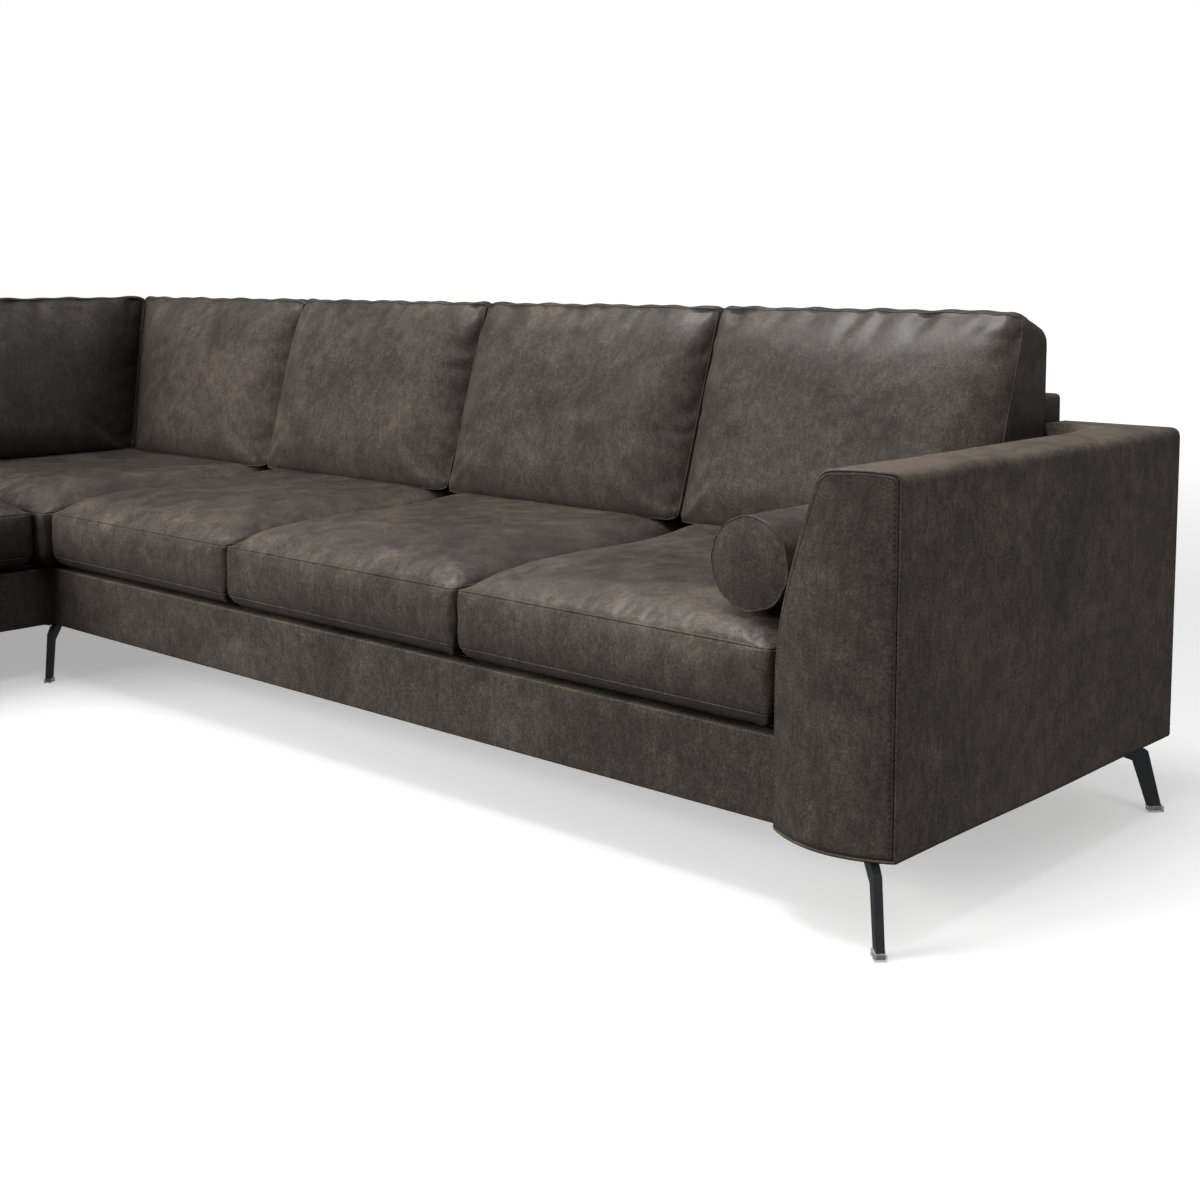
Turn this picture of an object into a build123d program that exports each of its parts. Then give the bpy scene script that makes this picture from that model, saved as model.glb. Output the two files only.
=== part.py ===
"""Leather corner sofa: a run of three seats with one arm, joined to a chaise with an open end.

Millimetres, +Z up. +X runs along the seats to the arm and +Y to the rear of the run.
The plan is laid out from the inner corner between the two bases. The finished pieces are
moved together at the end, so that the origin lies on the floor under the middle of the sofa.
"""

import os
from math import atan2, cos, degrees, hypot, pi, sin, sqrt

from build123d import *

# Heights from the floor, and the steps between them
LEG_HEIGHT = 130.0
BASE_HEIGHT = 136.0
DECK_RISE = 8.0
BACK_TOP = 740.0
ARM_TOP = 690.0

# Plan of the two bases and their backs
SEAT_NAMES = ("left", "middle", "right")
SEAT_WIDTH = 700.0
CORNER_OVERHANG = 48.0
BASE_DEPTH = 807.0
BACK_THICKNESS = 73.0
CHAISE_REACH = 1250.0
SIDE_BACK_REACH = 790.0

# Seat cushions: from the deck up, the belly, the boxed band between two seams, and the crown
SEAT_OVERHANG = 28.0
SEAT_BELLY = 28.0
SEAT_BAND = 102.0
SEAT_CROWN = 56.0
SEAT_DRAW = 4.0
SOFT_GAP = 1.0
REST_GAP = 0.4

# How far in from each side a seat's crown reaches its full height, and the steps to get there
TO_FRONT = 370.0
TO_SEAT = 190.0
TO_BACK = 34.0
TO_BOLSTER = 270.0
CROWN_STEPS = 6

# Back cushions: where the foot stands behind the base front, and the lean of the front face
BACK_FOOT = 565.0
BACK_LEAN = 110.0
BACK_CUSHION_TOP = 898.0
BACK_BULGE = 34.0
SIDE_FRONT_WIDTH = 700.0

# Bolster, lying on the right-hand seat along the arm
BOLSTER_RADIUS = 75.0
BOLSTER_LENGTH = 510.0
BOLSTER_FRONT = 20.0
BOLSTER_FROM_ARM = 78.0
BOLSTER_LIFT = 58.8
BOLSTER_DOME = 10.0

# Arm: upright on the inside up to the knee, then leaning out to a narrower top
ARM_WIDTH = 222.0
ARM_KNEE = 415.0
ARM_SLANT = 106.0
ARM_CROWN = 8.0
ARM_BOW = (19.0, 60.0, 31.0)
ARM_SKIN = 12.0
ARM_RIM = 8.0
PANEL_BACK = 12.0
FORMER = 18.0
ARM_BOARD = 20.0
ARM_BOARD_DROP = 60.0
ARM_BOARD_WIDTH = 68.0

# Timber, upholstery and fastener sizes
RAIL = 25.0
RAIL_DROP = 4.0
FASCIA = 14.0
CLOTH = 1.2
STRAP_WIDTH = 60.0
STRAP_THICK = 2.0
STRAP_PITCH = 175.0
PAD_INSET = 28.0
BACK_SKIN = 8.0
BACK_ROUND = 16.0
POST = 50.0
POST_PITCH = 540.0
BACK_RAIL = 60.0
BLOCK = 70.0
BLOCK_HEIGHT = 45.0
FREE = 0.3

# Legs: flat steel blades on the diagonals, each with a top plate and a clear glide
BLADE = 13.0
BLADE_FOOT = 23.0
GLIDE_SOLE = 3.0
GLIDE_HEIGHT = 11.0
GLIDE_WALL = 3.0
PLATE = 4.0
PLATE_LENGTH = 60.0
PLATE_WIDTH = 50.0
PLATE_BACK = 88.0
INNER_FOOT = (38.0, -33.0)
FRONT_INSET = 8.0
REAR_INSET = 46.0
END_INSET = 6.0
SCREW_RADIUS = 2.25
SCREW_HEAD = 4.0
SCREW_LENGTH = 18.0
SUPPORT_RADIUS = 22.0
BOLT_RADIUS = 4.0
BOLT_HEAD = 10.0
BOLT_DEPTH = 44.0
ARM_BOLT_RISE = 70.0
JOIN_LENGTH = 60.0
JOIN_WIDTH = 44.0
JOIN_SPACE = 40.0

BASE_TOP = LEG_HEIGHT + BASE_HEIGHT
DECK_TOP = BASE_TOP + DECK_RISE
RUN = CORNER_OVERHANG + len(SEAT_NAMES) * SEAT_WIDTH
REAR = BASE_DEPTH + BACK_THICKNESS
ARM_OUT = RUN + ARM_WIDTH
BACK_END = RUN - BACK_SKIN
RAIL_BOTTOM = LEG_HEIGHT + CLOTH
RAIL_TOP = BASE_TOP - RAIL_DROP
PAD_BOTTOM = RAIL_TOP + STRAP_THICK
SEAT_BOTTOM = DECK_TOP + REST_GAP
SEAT_TOP = DECK_TOP + SEAT_BELLY + SEAT_BAND + SEAT_CROWN

nodes = {}


def block(x0, x1, y0, y1, z0, z1):
    """Square-edged block between two corners."""
    middle = Pos((x0 + x1) / 2, (y0 + y1) / 2, (z0 + z1) / 2)
    return middle * Box(x1 - x0, y1 - y0, z1 - z0)


def rounded(shape, radius, floor):
    """The shape with every edge rounded, apart from those down at the floor height."""
    return fillet([e for e in shape.edges() if e.center().Z > floor + 0.1], radius)


def rod(start, end, radius):
    """Round bar from one point to another, along an axis of the sofa."""
    line = Vector(*end) - Vector(*start)
    return extrude(Plane(start, z_dir=line) * Circle(radius), line.length)


def drill(shape, holes):
    """The shape with those holes cut that reach it."""
    box = shape.bounding_box()
    near = []
    for hole in holes:
        other = hole.bounding_box()
        apart_x = other.min.X > box.max.X or other.max.X < box.min.X
        apart_y = other.min.Y > box.max.Y or other.max.Y < box.min.Y
        apart_z = other.min.Z > box.max.Z or other.max.Z < box.min.Z
        if not (apart_x or apart_y or apart_z):
            near.append(hole)
    return shape - near if near else shape


def save(name, *shapes):
    """Keep the solids of one node until all of them are known."""
    nodes[name] = [solid for shape in shapes for solid in shape.solids()]


def ring(x0, x1, y0, y1, z, radius, draw):
    """Flat section of a cushion: four sides drawn in between four rounded corners."""
    k = radius * (1 - sqrt(0.5))
    xm = (x0 + x1) / 2
    ym = (y0 + y1) / 2
    return Face(
        Wire(
            [
                ThreePointArc((x0 + radius, y0, z), (xm, y0 + draw, z), (x1 - radius, y0, z)),
                ThreePointArc((x1 - radius, y0, z), (x1 - k, y0 + k, z), (x1, y0 + radius, z)),
                ThreePointArc((x1, y0 + radius, z), (x1 - draw, ym, z), (x1, y1 - radius, z)),
                ThreePointArc((x1, y1 - radius, z), (x1 - k, y1 - k, z), (x1 - radius, y1, z)),
                ThreePointArc((x1 - radius, y1, z), (xm, y1 - draw, z), (x0 + radius, y1, z)),
                ThreePointArc((x0 + radius, y1, z), (x0 + k, y1 - k, z), (x0, y1 - radius, z)),
                ThreePointArc((x0, y1 - radius, z), (x0 + draw, ym, z), (x0, y0 + radius, z)),
                ThreePointArc((x0, y0 + radius, z), (x0 + k, y0 + k, z), (x0 + radius, y0, z)),
            ]
        )
    )


def seat_cushion(x0, x1, y0, y1, left, right, front, rear):
    """Boxed seat cushion: a soft belly, a band between two seams and a high crown."""
    low = DECK_TOP + SEAT_BELLY
    high = low + SEAT_BAND
    x0 = x0 + SOFT_GAP
    x1 = x1 - SOFT_GAP
    y0 = y0 + SOFT_GAP
    y1 = y1 - SOFT_GAP

    def level(z, inset, radius):
        return ring(x0 + inset, x1 - inset, y0 + inset, y1 - inset, z, radius, SEAT_DRAW)

    def curve(i, count):
        turn = pi / 2 * i / (count - 1)
        return sin(turn), 1 - cos(turn)

    belly = []
    for i in range(4):
        rise, reach = curve(i, 4)
        belly.append(level(low - (low - SEAT_BOTTOM) * rise, 2 + 36 * reach, 18 + 12 * reach))
    crown = []
    for i in range(CROWN_STEPS):
        rise, reach = curve(i, CROWN_STEPS)
        crown.append(
            ring(
                x0 + 2 + left * reach,
                x1 - 2 - right * reach,
                y0 + 2 + front * reach,
                y1 - 2 - rear * reach,
                high + SEAT_CROWN * rise,
                18 + 50 * reach,
                SEAT_DRAW,
            )
        )
    band = [level(low, 2, 18), level((low + high) / 2, 0, 18), level(high, 2, 18)]
    return loft(belly, ruled=True) + loft(band) + loft(crown, ruled=True)


def back_section(x, foot, lean, bulge, drop, depth):
    """Side profile of a back cushion: flat foot, bulging front that leans back, round top."""
    bottom = SEAT_TOP + REST_GAP
    crest = BACK_CUSHION_TOP - drop - 26
    middle = (x, foot + lean / 2 - bulge, (bottom + crest) / 2 - 20)
    front_top = (x, foot + lean, crest)
    rear_top = (x, depth, crest - 24)
    ridge = (x, (foot + lean + depth) / 2, BACK_CUSHION_TOP - drop)
    return Face(
        Wire(
            [
                Line((x, depth, bottom), (x, foot, bottom)),
                ThreePointArc((x, foot, bottom), middle, front_top),
                ThreePointArc(front_top, ridge, rear_top),
                Line(rear_top, (x, depth, bottom)),
            ]
        )
    )


def back_cushion(width, leans, bulges):
    """Back cushion along +X with its rear at y = depth; its ends are boxed and lower."""
    depth = BASE_DEPTH - 2 * SOFT_GAP
    spots = (SOFT_GAP, 0.12 * width, 0.45 * width, 0.88 * width, width - SOFT_GAP)
    feet = (6.0, 1.0, 0.0, 1.0, 6.0)
    drops = (26.0, 5.0, 0.0, 5.0, 26.0)
    return loft(
        [
            back_section(spots[i], BACK_FOOT + feet[i], leans[i], bulges[i], drops[i], depth)
            for i in range(len(spots))
        ]
    )


# Base of the run: timber rails with webbing and a pad on top, a padded fascia in front
# Base of the chaise: the same, along Y, with the fascia round its inner side and open end
cross_x = [-FASCIA + i * (RUN + FASCIA - RAIL) / 3 for i in range(4)]
cross_pitch = (CHAISE_REACH - FASCIA + BASE_DEPTH - RAIL) / 4
cross_y = [-CHAISE_REACH + FASCIA + i * cross_pitch for i in range(5)]
inner_x = -FASCIA - RAIL
outer_x = -BASE_DEPTH + FASCIA

main_front_rail = block(-FASCIA, RUN, FASCIA, FASCIA + RAIL, RAIL_BOTTOM, RAIL_TOP)
main_rear_rail = block(-FASCIA, RUN, BASE_DEPTH - RAIL, BASE_DEPTH, RAIL_BOTTOM, RAIL_TOP)
main_cross_rails = [
    block(x, x + RAIL, FASCIA + RAIL, BASE_DEPTH - RAIL, RAIL_BOTTOM, RAIL_TOP) for x in cross_x
]
chaise_inner_rail = block(
    inner_x, -FASCIA, FASCIA - CHAISE_REACH, BASE_DEPTH, RAIL_BOTTOM, RAIL_TOP
)
chaise_outer_rail = block(
    outer_x, outer_x + RAIL, FASCIA - CHAISE_REACH, BASE_DEPTH, RAIL_BOTTOM, RAIL_TOP
)
chaise_cross_rails = [
    block(outer_x + RAIL, inner_x, y, y + RAIL, RAIL_BOTTOM, RAIL_TOP) for y in cross_y
]

main_fascia = rounded(block(0, RUN, 0, FASCIA, LEG_HEIGHT, BASE_TOP), 5, LEG_HEIGHT)
inner_fascia = rounded(
    block(-FASCIA, 0, -CHAISE_REACH, FASCIA, LEG_HEIGHT, BASE_TOP), 5, LEG_HEIGHT
)
outer_fascia = rounded(
    block(-BASE_DEPTH, outer_x, -CHAISE_REACH, BASE_DEPTH, LEG_HEIGHT, BASE_TOP), 5, LEG_HEIGHT
)
end_y = FASCIA - CHAISE_REACH
end_fascia = rounded(
    block(outer_x, -FASCIA, -CHAISE_REACH, end_y, LEG_HEIGHT, BASE_TOP), 5, LEG_HEIGHT
)
main_cloth = block(-FASCIA, RUN, FASCIA, BASE_DEPTH, LEG_HEIGHT, RAIL_BOTTOM)
chaise_cloth = block(
    outer_x, -FASCIA, FASCIA - CHAISE_REACH, BASE_DEPTH, LEG_HEIGHT, RAIL_BOTTOM
)

strap_count = int((RUN - STRAP_PITCH / 2) // STRAP_PITCH) + 1
main_straps = []
for i in range(strap_count):
    x = STRAP_PITCH * (i + 0.5)
    main_straps.append(
        block(x - STRAP_WIDTH / 2, x + STRAP_WIDTH / 2, FASCIA, BASE_DEPTH, RAIL_TOP, PAD_BOTTOM)
    )
strap_count = int((CHAISE_REACH + BASE_DEPTH - STRAP_PITCH) // STRAP_PITCH) + 1
chaise_straps = []
for i in range(strap_count):
    y = -CHAISE_REACH + STRAP_PITCH * (i + 0.6)
    chaise_straps.append(
        block(outer_x, -FASCIA, y - STRAP_WIDTH / 2, y + STRAP_WIDTH / 2, RAIL_TOP, PAD_BOTTOM)
    )
pad_edge = FASCIA + PAD_INSET
main_pad = rounded(
    block(-FASCIA, RUN - 8, pad_edge, BASE_DEPTH - 4, PAD_BOTTOM, DECK_TOP), 6, PAD_BOTTOM
)
chaise_pad = rounded(
    block(outer_x + 1, -pad_edge, pad_edge - CHAISE_REACH, BASE_DEPTH - 4, PAD_BOTTOM, DECK_TOP),
    6,
    PAD_BOTTOM,
)


def back_cover(x0, x1, y0, y1):
    """Upholstered back: a rounded slab over a frame, open at its underside."""
    slab = rounded(block(x0, x1, y0, y1, LEG_HEIGHT, BACK_TOP), BACK_ROUND, LEG_HEIGHT)
    return slab - block(
        x0 + BACK_SKIN,
        x1 - BACK_SKIN,
        y0 + BACK_SKIN,
        y1 - BACK_SKIN,
        LEG_HEIGHT - 1,
        BACK_TOP - BACK_SKIN,
    )


def back_frame(x0, x1, y0, y1):
    """Timber inside a back cover: the bottom and top rails, and the posts between them."""
    edge = BACK_SKIN + FREE
    ax, bx, ay, by = x0 + edge, x1 - edge, y0 + edge, y1 - edge
    top = BACK_TOP - BACK_SKIN - FREE
    low = LEG_HEIGHT + BACK_RAIL
    rails = [
        block(ax, bx, ay, by, LEG_HEIGHT, low),
        block(ax, bx, ay, by, top - BACK_RAIL, top),
    ]
    bays = max(1, round(max(bx - ax, by - ay) / POST_PITCH))
    uprights = []
    for i in range(bays + 1):
        share = i / bays
        if bx - ax > by - ay:
            x = ax + share * (bx - ax - POST)
            uprights.append(block(x, x + POST, ay, by, low, top - BACK_RAIL))
        else:
            y = ay + share * (by - ay - POST)
            uprights.append(block(ax, bx, y, y + POST, low, top - BACK_RAIL))
    return rails, uprights


backs = {
    "main_back": (0, BACK_END, BASE_DEPTH, REAR),
    "chaise_rear_back": (-REAR, 0, BASE_DEPTH, REAR),
    "chaise_side_back": (-REAR, -BASE_DEPTH, -SIDE_BACK_REACH, BASE_DEPTH),
}


# Arm: its section across X and Z, drawn in by an inset for the skin and the front panel
def arm_section(inset, y, drop=0.0):
    """Face across the arm at one depth: upright, leaning, then a crowned top."""
    x0 = RUN + inset
    x1 = ARM_OUT - inset
    floor = LEG_HEIGHT - drop
    shoulder = ARM_TOP - ARM_CROWN - inset
    lean_x = x0 + ARM_SLANT
    outline = Face(
        Wire(
            [
                Line((x0, y, floor), (x0, y, ARM_KNEE)),
                Line((x0, y, ARM_KNEE), (lean_x, y, shoulder)),
                ThreePointArc(
                    (lean_x, y, shoulder),
                    ((lean_x + x1) / 2, y, shoulder + ARM_CROWN),
                    (x1, y, shoulder),
                ),
                Line((x1, y, shoulder), (x1, y, floor)),
                Line((x1, y, floor), (x0, y, floor)),
            ]
        )
    )
    knee = [v for v in outline.vertices() if abs(v.Z - ARM_KNEE) < 1]
    tops = [v for v in outline.vertices() if abs(v.Z - shoulder) < 1]
    return outline.fillet_2d(120, knee).fillet_2d(22 - inset, tops)


def arm_length(inset, y0, y1, drop=0.0):
    """The section carried from one depth to another."""
    return extrude(arm_section(inset, y0, drop), y1 - y0, dir=(0, 1, 0))


bow_in, bow_mid, bow_out = ARM_BOW
arm_plan = Face(
    Wire(
        [
            ThreePointArc(
                (RUN, -bow_in, LEG_HEIGHT),
                (RUN + 0.57 * ARM_WIDTH, -bow_mid, LEG_HEIGHT),
                (ARM_OUT, -bow_out, LEG_HEIGHT),
            ),
            Line((ARM_OUT, -bow_out, LEG_HEIGHT), (ARM_OUT, BASE_DEPTH, LEG_HEIGHT)),
            Line((ARM_OUT, BASE_DEPTH, LEG_HEIGHT), (RUN, BASE_DEPTH, LEG_HEIGHT)),
            Line((RUN, BASE_DEPTH, LEG_HEIGHT), (RUN, -bow_in, LEG_HEIGHT)),
        ]
    )
)
outer_corner = [v for v in arm_plan.vertices() if v.X > ARM_OUT - 1 and v.Y < 0]
arm_plan = arm_plan.fillet_2d(18, outer_corner)
arm_body = arm_length(0, -bow_mid - 5, BASE_DEPTH) & extrude(arm_plan, ARM_TOP, dir=(0, 0, 1))
arm_panel = arm_body & arm_length(ARM_RIM, -bow_mid - 5, -PANEL_BACK - FREE)
arm_recess = arm_length(ARM_RIM - FREE, -bow_mid - 6, -PANEL_BACK, 1)
arm_hollow = arm_length(ARM_SKIN, ARM_SKIN / 3, BASE_DEPTH - ARM_SKIN, 1)
arm_cover = arm_body - arm_recess - arm_hollow

former_front = ARM_SKIN / 3 + FREE
former_rear = BASE_DEPTH - ARM_SKIN - FREE
arm_formers = [
    arm_length(ARM_SKIN + FREE, former_front, former_front + FORMER),
    arm_length(ARM_SKIN + FREE, former_rear - FORMER, former_rear),
]
board_x = RUN + ARM_SKIN + FREE
board_out = ARM_OUT - ARM_SKIN - FREE
board_y = (former_front + FORMER, former_rear - FORMER)
board_low = LEG_HEIGHT + ARM_BOARD
board_high = ARM_TOP - ARM_BOARD_DROP
arm_boards = [
    block(board_x, board_out, *board_y, LEG_HEIGHT, board_low),
    block(board_x, board_x + RAIL, *board_y, board_low, BASE_TOP),
    block(board_out - ARM_BOARD_WIDTH, board_out, *board_y, board_high, board_high + ARM_BOARD),
]
arm_rear = rounded(
    block(BACK_END, ARM_OUT, BASE_DEPTH, REAR, LEG_HEIGHT, ARM_TOP), BACK_ROUND, LEG_HEIGHT
)


# Legs: a blade that elbows out from its plate, drawn with +X outward from the foot
def blade_profile(margin):
    """Outline of the blade across X and Z, made fuller by a margin."""
    half = BLADE_FOOT / 2 + margin
    top = LEG_HEIGHT - PLATE
    points = [
        (-half, 0, GLIDE_SOLE),
        (half, 0, GLIDE_SOLE),
        (half - 29, 0, top - 14),
        (half - 55, 0, top),
        (-PLATE_BACK - PLATE_LENGTH / 2, 0, top),
        (-PLATE_BACK - PLATE_LENGTH / 2, 0, top - 4),
        (-half - 31, 0, top - 32),
    ]
    return Face(Wire(Polyline(*points, close=True).edges()))


def blade(margin):
    """The blade itself, with its thickness each way from the profile."""
    return extrude(blade_profile(margin), BLADE / 2 + margin, dir=(0, 1, 0), both=True)


def leg_at(foot, outward, shape):
    """A leg piece moved to its foot on the floor and turned to point outward."""
    turn = degrees(atan2(outward[1], outward[0]))
    return Pos(foot[0], foot[1], 0) * Rot(0, 0, turn) * shape


plate_spots = [
    (x - PLATE_BACK, y)
    for x in (0.3 * PLATE_LENGTH, -0.3 * PLATE_LENGTH)
    for y in (0.34 * PLATE_WIDTH, -0.34 * PLATE_WIDTH)
]
under = LEG_HEIGHT - PLATE
plate = block(
    -PLATE_BACK - PLATE_LENGTH / 2,
    -PLATE_BACK + PLATE_LENGTH / 2,
    -PLATE_WIDTH / 2,
    PLATE_WIDTH / 2,
    under,
    LEG_HEIGHT,
)
for x, y in plate_spots:
    plate = plate - rod((x, y, under - 1), (x, y, LEG_HEIGHT + 1), SCREW_RADIUS + 0.35)
leg_form = blade(0) + plate
glide_x = BLADE_FOOT / 2 + GLIDE_WALL
glide_y = BLADE / 2 + GLIDE_WALL
glide_form = rounded(block(-glide_x, glide_x, -glide_y, glide_y, 0, GLIDE_HEIGHT), 2.2, 0) - blade(0.2)

end_in = END_INSET * sqrt(0.5)
leg_spots = {
    "front_right": ((ARM_OUT - FRONT_INSET, FRONT_INSET - bow_mid), (1, -1)),
    "rear_right": ((ARM_OUT - 5, REAR - REAR_INSET), (1, 1)),
    "inner_corner": (INNER_FOOT, (1, -1)),
    "rear_left": ((-REAR + REAR_INSET, REAR - REAR_INSET), (-1, 1)),
    "chaise_right": ((-end_in, end_in - CHAISE_REACH), (1, -1)),
    "chaise_left": ((end_in - BASE_DEPTH, end_in - CHAISE_REACH), (-1, -1)),
}
join_x = (-FASCIA - RAIL / 2, -FASCIA + RAIL / 2)
join_y = [y - JOIN_SPACE for y in cross_y if y > JOIN_WIDTH + JOIN_SPACE]
join_spots = [(x, y + d) for x in join_x for y in join_y for d in (-12, 12)]

screw_spots = []
for foot, outward in leg_spots.values():
    size = hypot(*outward)
    c = outward[0] / size
    s = outward[1] / size
    screw_spots += [(foot[0] + x * c - y * s, foot[1] + x * s + y * c) for x, y in plate_spots]
screw_spots += join_spots
screw_holes = [
    rod((x, y, LEG_HEIGHT - 0.5), (x, y, LEG_HEIGHT + SCREW_LENGTH + 0.5), SCREW_RADIUS + 0.1)
    for x, y in screw_spots
]
screws = [
    rod((x, y, under - 3), (x, y, under), SCREW_HEAD)
    + rod((x, y, under), (x, y, LEG_HEIGHT + SCREW_LENGTH), SCREW_RADIUS)
    for x, y in screw_spots
]
join_plates = []
for y in join_y:
    reach = JOIN_LENGTH / 2
    side = JOIN_WIDTH / 2
    bar = block(-FASCIA - reach, -FASCIA + reach, y - side, y + side, under, LEG_HEIGHT)
    clear = []
    for a, b in join_spots:
        clear.append(rod((a, b, under - 1), (a, b, LEG_HEIGHT + 1), SCREW_RADIUS + 0.35))
    join_plates.append(drill(bar, clear))

block_top = RAIL_BOTTOM + BLOCK_HEIGHT
leg_blocks = [
    block(inner_x - BLOCK, inner_x, -10, BLOCK - 10, RAIL_BOTTOM, block_top),
    block(
        outer_x + RAIL,
        outer_x + RAIL + BLOCK,
        BASE_DEPTH - RAIL - BLOCK,
        BASE_DEPTH - RAIL,
        RAIL_BOTTOM,
        block_top,
    ),
]
block_y = end_y + RAIL
for x in (inner_x - BLOCK, outer_x + RAIL):
    leg_blocks.append(block(x, x + BLOCK, block_y, block_y + BLOCK, RAIL_BOTTOM, block_top))

# Bolts that hold the backs and the arm to the bases
bolt_z = LEG_HEIGHT + BACK_RAIL / 2
arm_bolt_z = LEG_HEIGHT + ARM_BOLT_RISE
bolt_lines = []
for share in (0.09, 0.4, 0.73, 0.92):
    x = share * RUN
    bolt_lines.append(((x, BASE_DEPTH - RAIL, bolt_z), (x, BASE_DEPTH + BOLT_DEPTH, bolt_z)))
for share in (0.22, 0.78):
    x = -share * BASE_DEPTH
    bolt_lines.append(((x, BASE_DEPTH - RAIL, bolt_z), (x, BASE_DEPTH + BOLT_DEPTH, bolt_z)))
for rail_y in cross_y[1:-1]:
    for share in (0.33, 0.67):
        y = rail_y + RAIL + share * (cross_pitch - RAIL)
        bolt_lines.append(((outer_x + RAIL, y, bolt_z), (-BASE_DEPTH - BOLT_DEPTH, y, bolt_z)))
for share in (0.15, 0.5, 0.85):
    y = share * BASE_DEPTH
    bolt_lines.append(((RUN - RAIL, y, arm_bolt_z), (RUN + ARM_SKIN + 22, y, arm_bolt_z)))
bolts = []
bolt_holes = []
for start, end in bolt_lines:
    way = (Vector(*end) - Vector(*start)).normalized()
    head = tuple(Vector(*start) - way * 5)
    beyond = tuple(Vector(*end) + way * 0.5)
    bolts.append(rod(head, start, BOLT_HEAD) + rod(start, end, BOLT_RADIUS))
    bolt_holes.append(rod(start, beyond, BOLT_RADIUS + FREE))
holes = screw_holes + bolt_holes

save("main_front_rail", drill(main_front_rail, holes))
save("main_rear_rail", drill(main_rear_rail, holes))
save("main_cross_rails", *[drill(rail, holes) for rail in main_cross_rails])
save("main_webbing", *main_straps)
save("main_deck_pad", main_pad)
save("main_front_fascia", drill(main_fascia, holes))
save("main_dust_cloth", drill(main_cloth, holes))
save("chaise_inner_rail", drill(chaise_inner_rail, holes))
save("chaise_outer_rail", drill(chaise_outer_rail, holes))
save("chaise_cross_rails", *[drill(rail, holes) for rail in chaise_cross_rails])
save("chaise_webbing", *chaise_straps)
save("chaise_deck_pad", chaise_pad)
save("chaise_inner_fascia", drill(inner_fascia, holes))
save("chaise_outer_fascia", drill(outer_fascia, holes))
save("chaise_end_fascia", drill(end_fascia, holes))
save("chaise_dust_cloth", drill(chaise_cloth, holes))
for name, corners in backs.items():
    rails, uprights = back_frame(*corners)
    save(name + "_cover", drill(back_cover(*corners), holes))
    save(name + "_rails", *[drill(rail, holes) for rail in rails])
    save(name + "_posts", *uprights)
save("arm_cover", drill(arm_cover, holes))
save("arm_front_panel", drill(arm_panel, holes))
save("arm_formers", *[drill(former, holes) for former in arm_formers])
save("arm_boards", *[drill(board, holes) for board in arm_boards])
save("arm_rear_cover", arm_rear)
for name, (foot, outward) in leg_spots.items():
    save("leg_" + name, leg_at(foot, outward, leg_form))
    save("glide_" + name, leg_at(foot, outward, glide_form))
save("leg_blocks", *[drill(piece, holes) for piece in leg_blocks])
save("plate_screws", *screws)
save("joining_plates", *join_plates)
save("frame_bolts", *bolts)
support_spots = [
    (0.5 * RUN, 0.9 * BASE_DEPTH),
    (0.5 * RUN, 0.55 * BASE_DEPTH),
    (-0.5 * BASE_DEPTH, 0.0),
]
save("support_legs", *[rod((x, y, 0), (x, y, LEG_HEIGHT), SUPPORT_RADIUS) for x, y in support_spots])

# Loose cushions; the corner back and the side cushion beside it meet at a mitre
for i, name in enumerate(SEAT_NAMES):
    x = CORNER_OVERHANG + i * SEAT_WIDTH
    right = TO_BOLSTER if i == len(SEAT_NAMES) - 1 else TO_SEAT
    save(
        "seat_cushion_" + name,
        seat_cushion(x, x + SEAT_WIDTH, -SEAT_OVERHANG, BASE_DEPTH, TO_SEAT, right, TO_FRONT, TO_BACK),
    )
    leans = [BACK_LEAN] * 5
    bulges = (10, 0.75 * BACK_BULGE, BACK_BULGE, 0.75 * BACK_BULGE, 10)
    save("back_cushion_" + name, Pos(x, 0, 0) * back_cushion(SEAT_WIDTH, leans, bulges))
save(
    "seat_cushion_corner",
    seat_cushion(
        -BASE_DEPTH, CORNER_OVERHANG, -CORNER_OVERHANG, BASE_DEPTH, TO_BACK, TO_SEAT, TO_SEAT, TO_BACK
    ),
)
save(
    "seat_cushion_chaise",
    seat_cushion(
        -BASE_DEPTH,
        SEAT_OVERHANG,
        -CHAISE_REACH - SEAT_OVERHANG,
        -CORNER_OVERHANG,
        TO_SEAT,
        TO_FRONT,
        TO_FRONT,
        TO_SEAT,
    ),
)
corner_run = CORNER_OVERHANG + BASE_DEPTH
mitre = Polygon(
    (SOFT_GAP - BASE_DEPTH, BASE_DEPTH),
    (SOFT_GAP, 0),
    (CORNER_OVERHANG, 0),
    (CORNER_OVERHANG, BASE_DEPTH),
    align=None,
)
beside_mitre = Polygon(
    (-SOFT_GAP - BASE_DEPTH, BASE_DEPTH),
    (-SOFT_GAP, 0),
    (-SOFT_GAP, -CORNER_OVERHANG),
    (-SOFT_GAP - BASE_DEPTH, -CORNER_OVERHANG),
    align=None,
)
over_top = BACK_CUSHION_TOP + BACK_BULGE
corner_back = Pos(-BASE_DEPTH, 0, 0) * back_cushion(corner_run, [BACK_LEAN] * 5, (3, 12, 24, 24, 10))
save("back_cushion_corner", corner_back & extrude(mitre, over_top, dir=(0, 0, 1)))
quarter = Rot(0, 0, 90)
side_back = (
    Pos(0, -CORNER_OVERHANG, 0) * quarter * back_cushion(corner_run, [BACK_LEAN] * 5, (8, 18, 18, 12, 3))
)
save("side_cushion_rear", side_back & extrude(beside_mitre, over_top, dir=(0, 0, 1)))
save(
    "side_cushion_front",
    Pos(0, -CORNER_OVERHANG - SIDE_FRONT_WIDTH, 0)
    * quarter
    * back_cushion(SIDE_FRONT_WIDTH, [BACK_LEAN] * 5, bulges),
)
half = BOLSTER_LENGTH / 2 + BOLSTER_DOME
bolster = Cylinder(BOLSTER_RADIUS, 2 * half) & Sphere(half)
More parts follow.
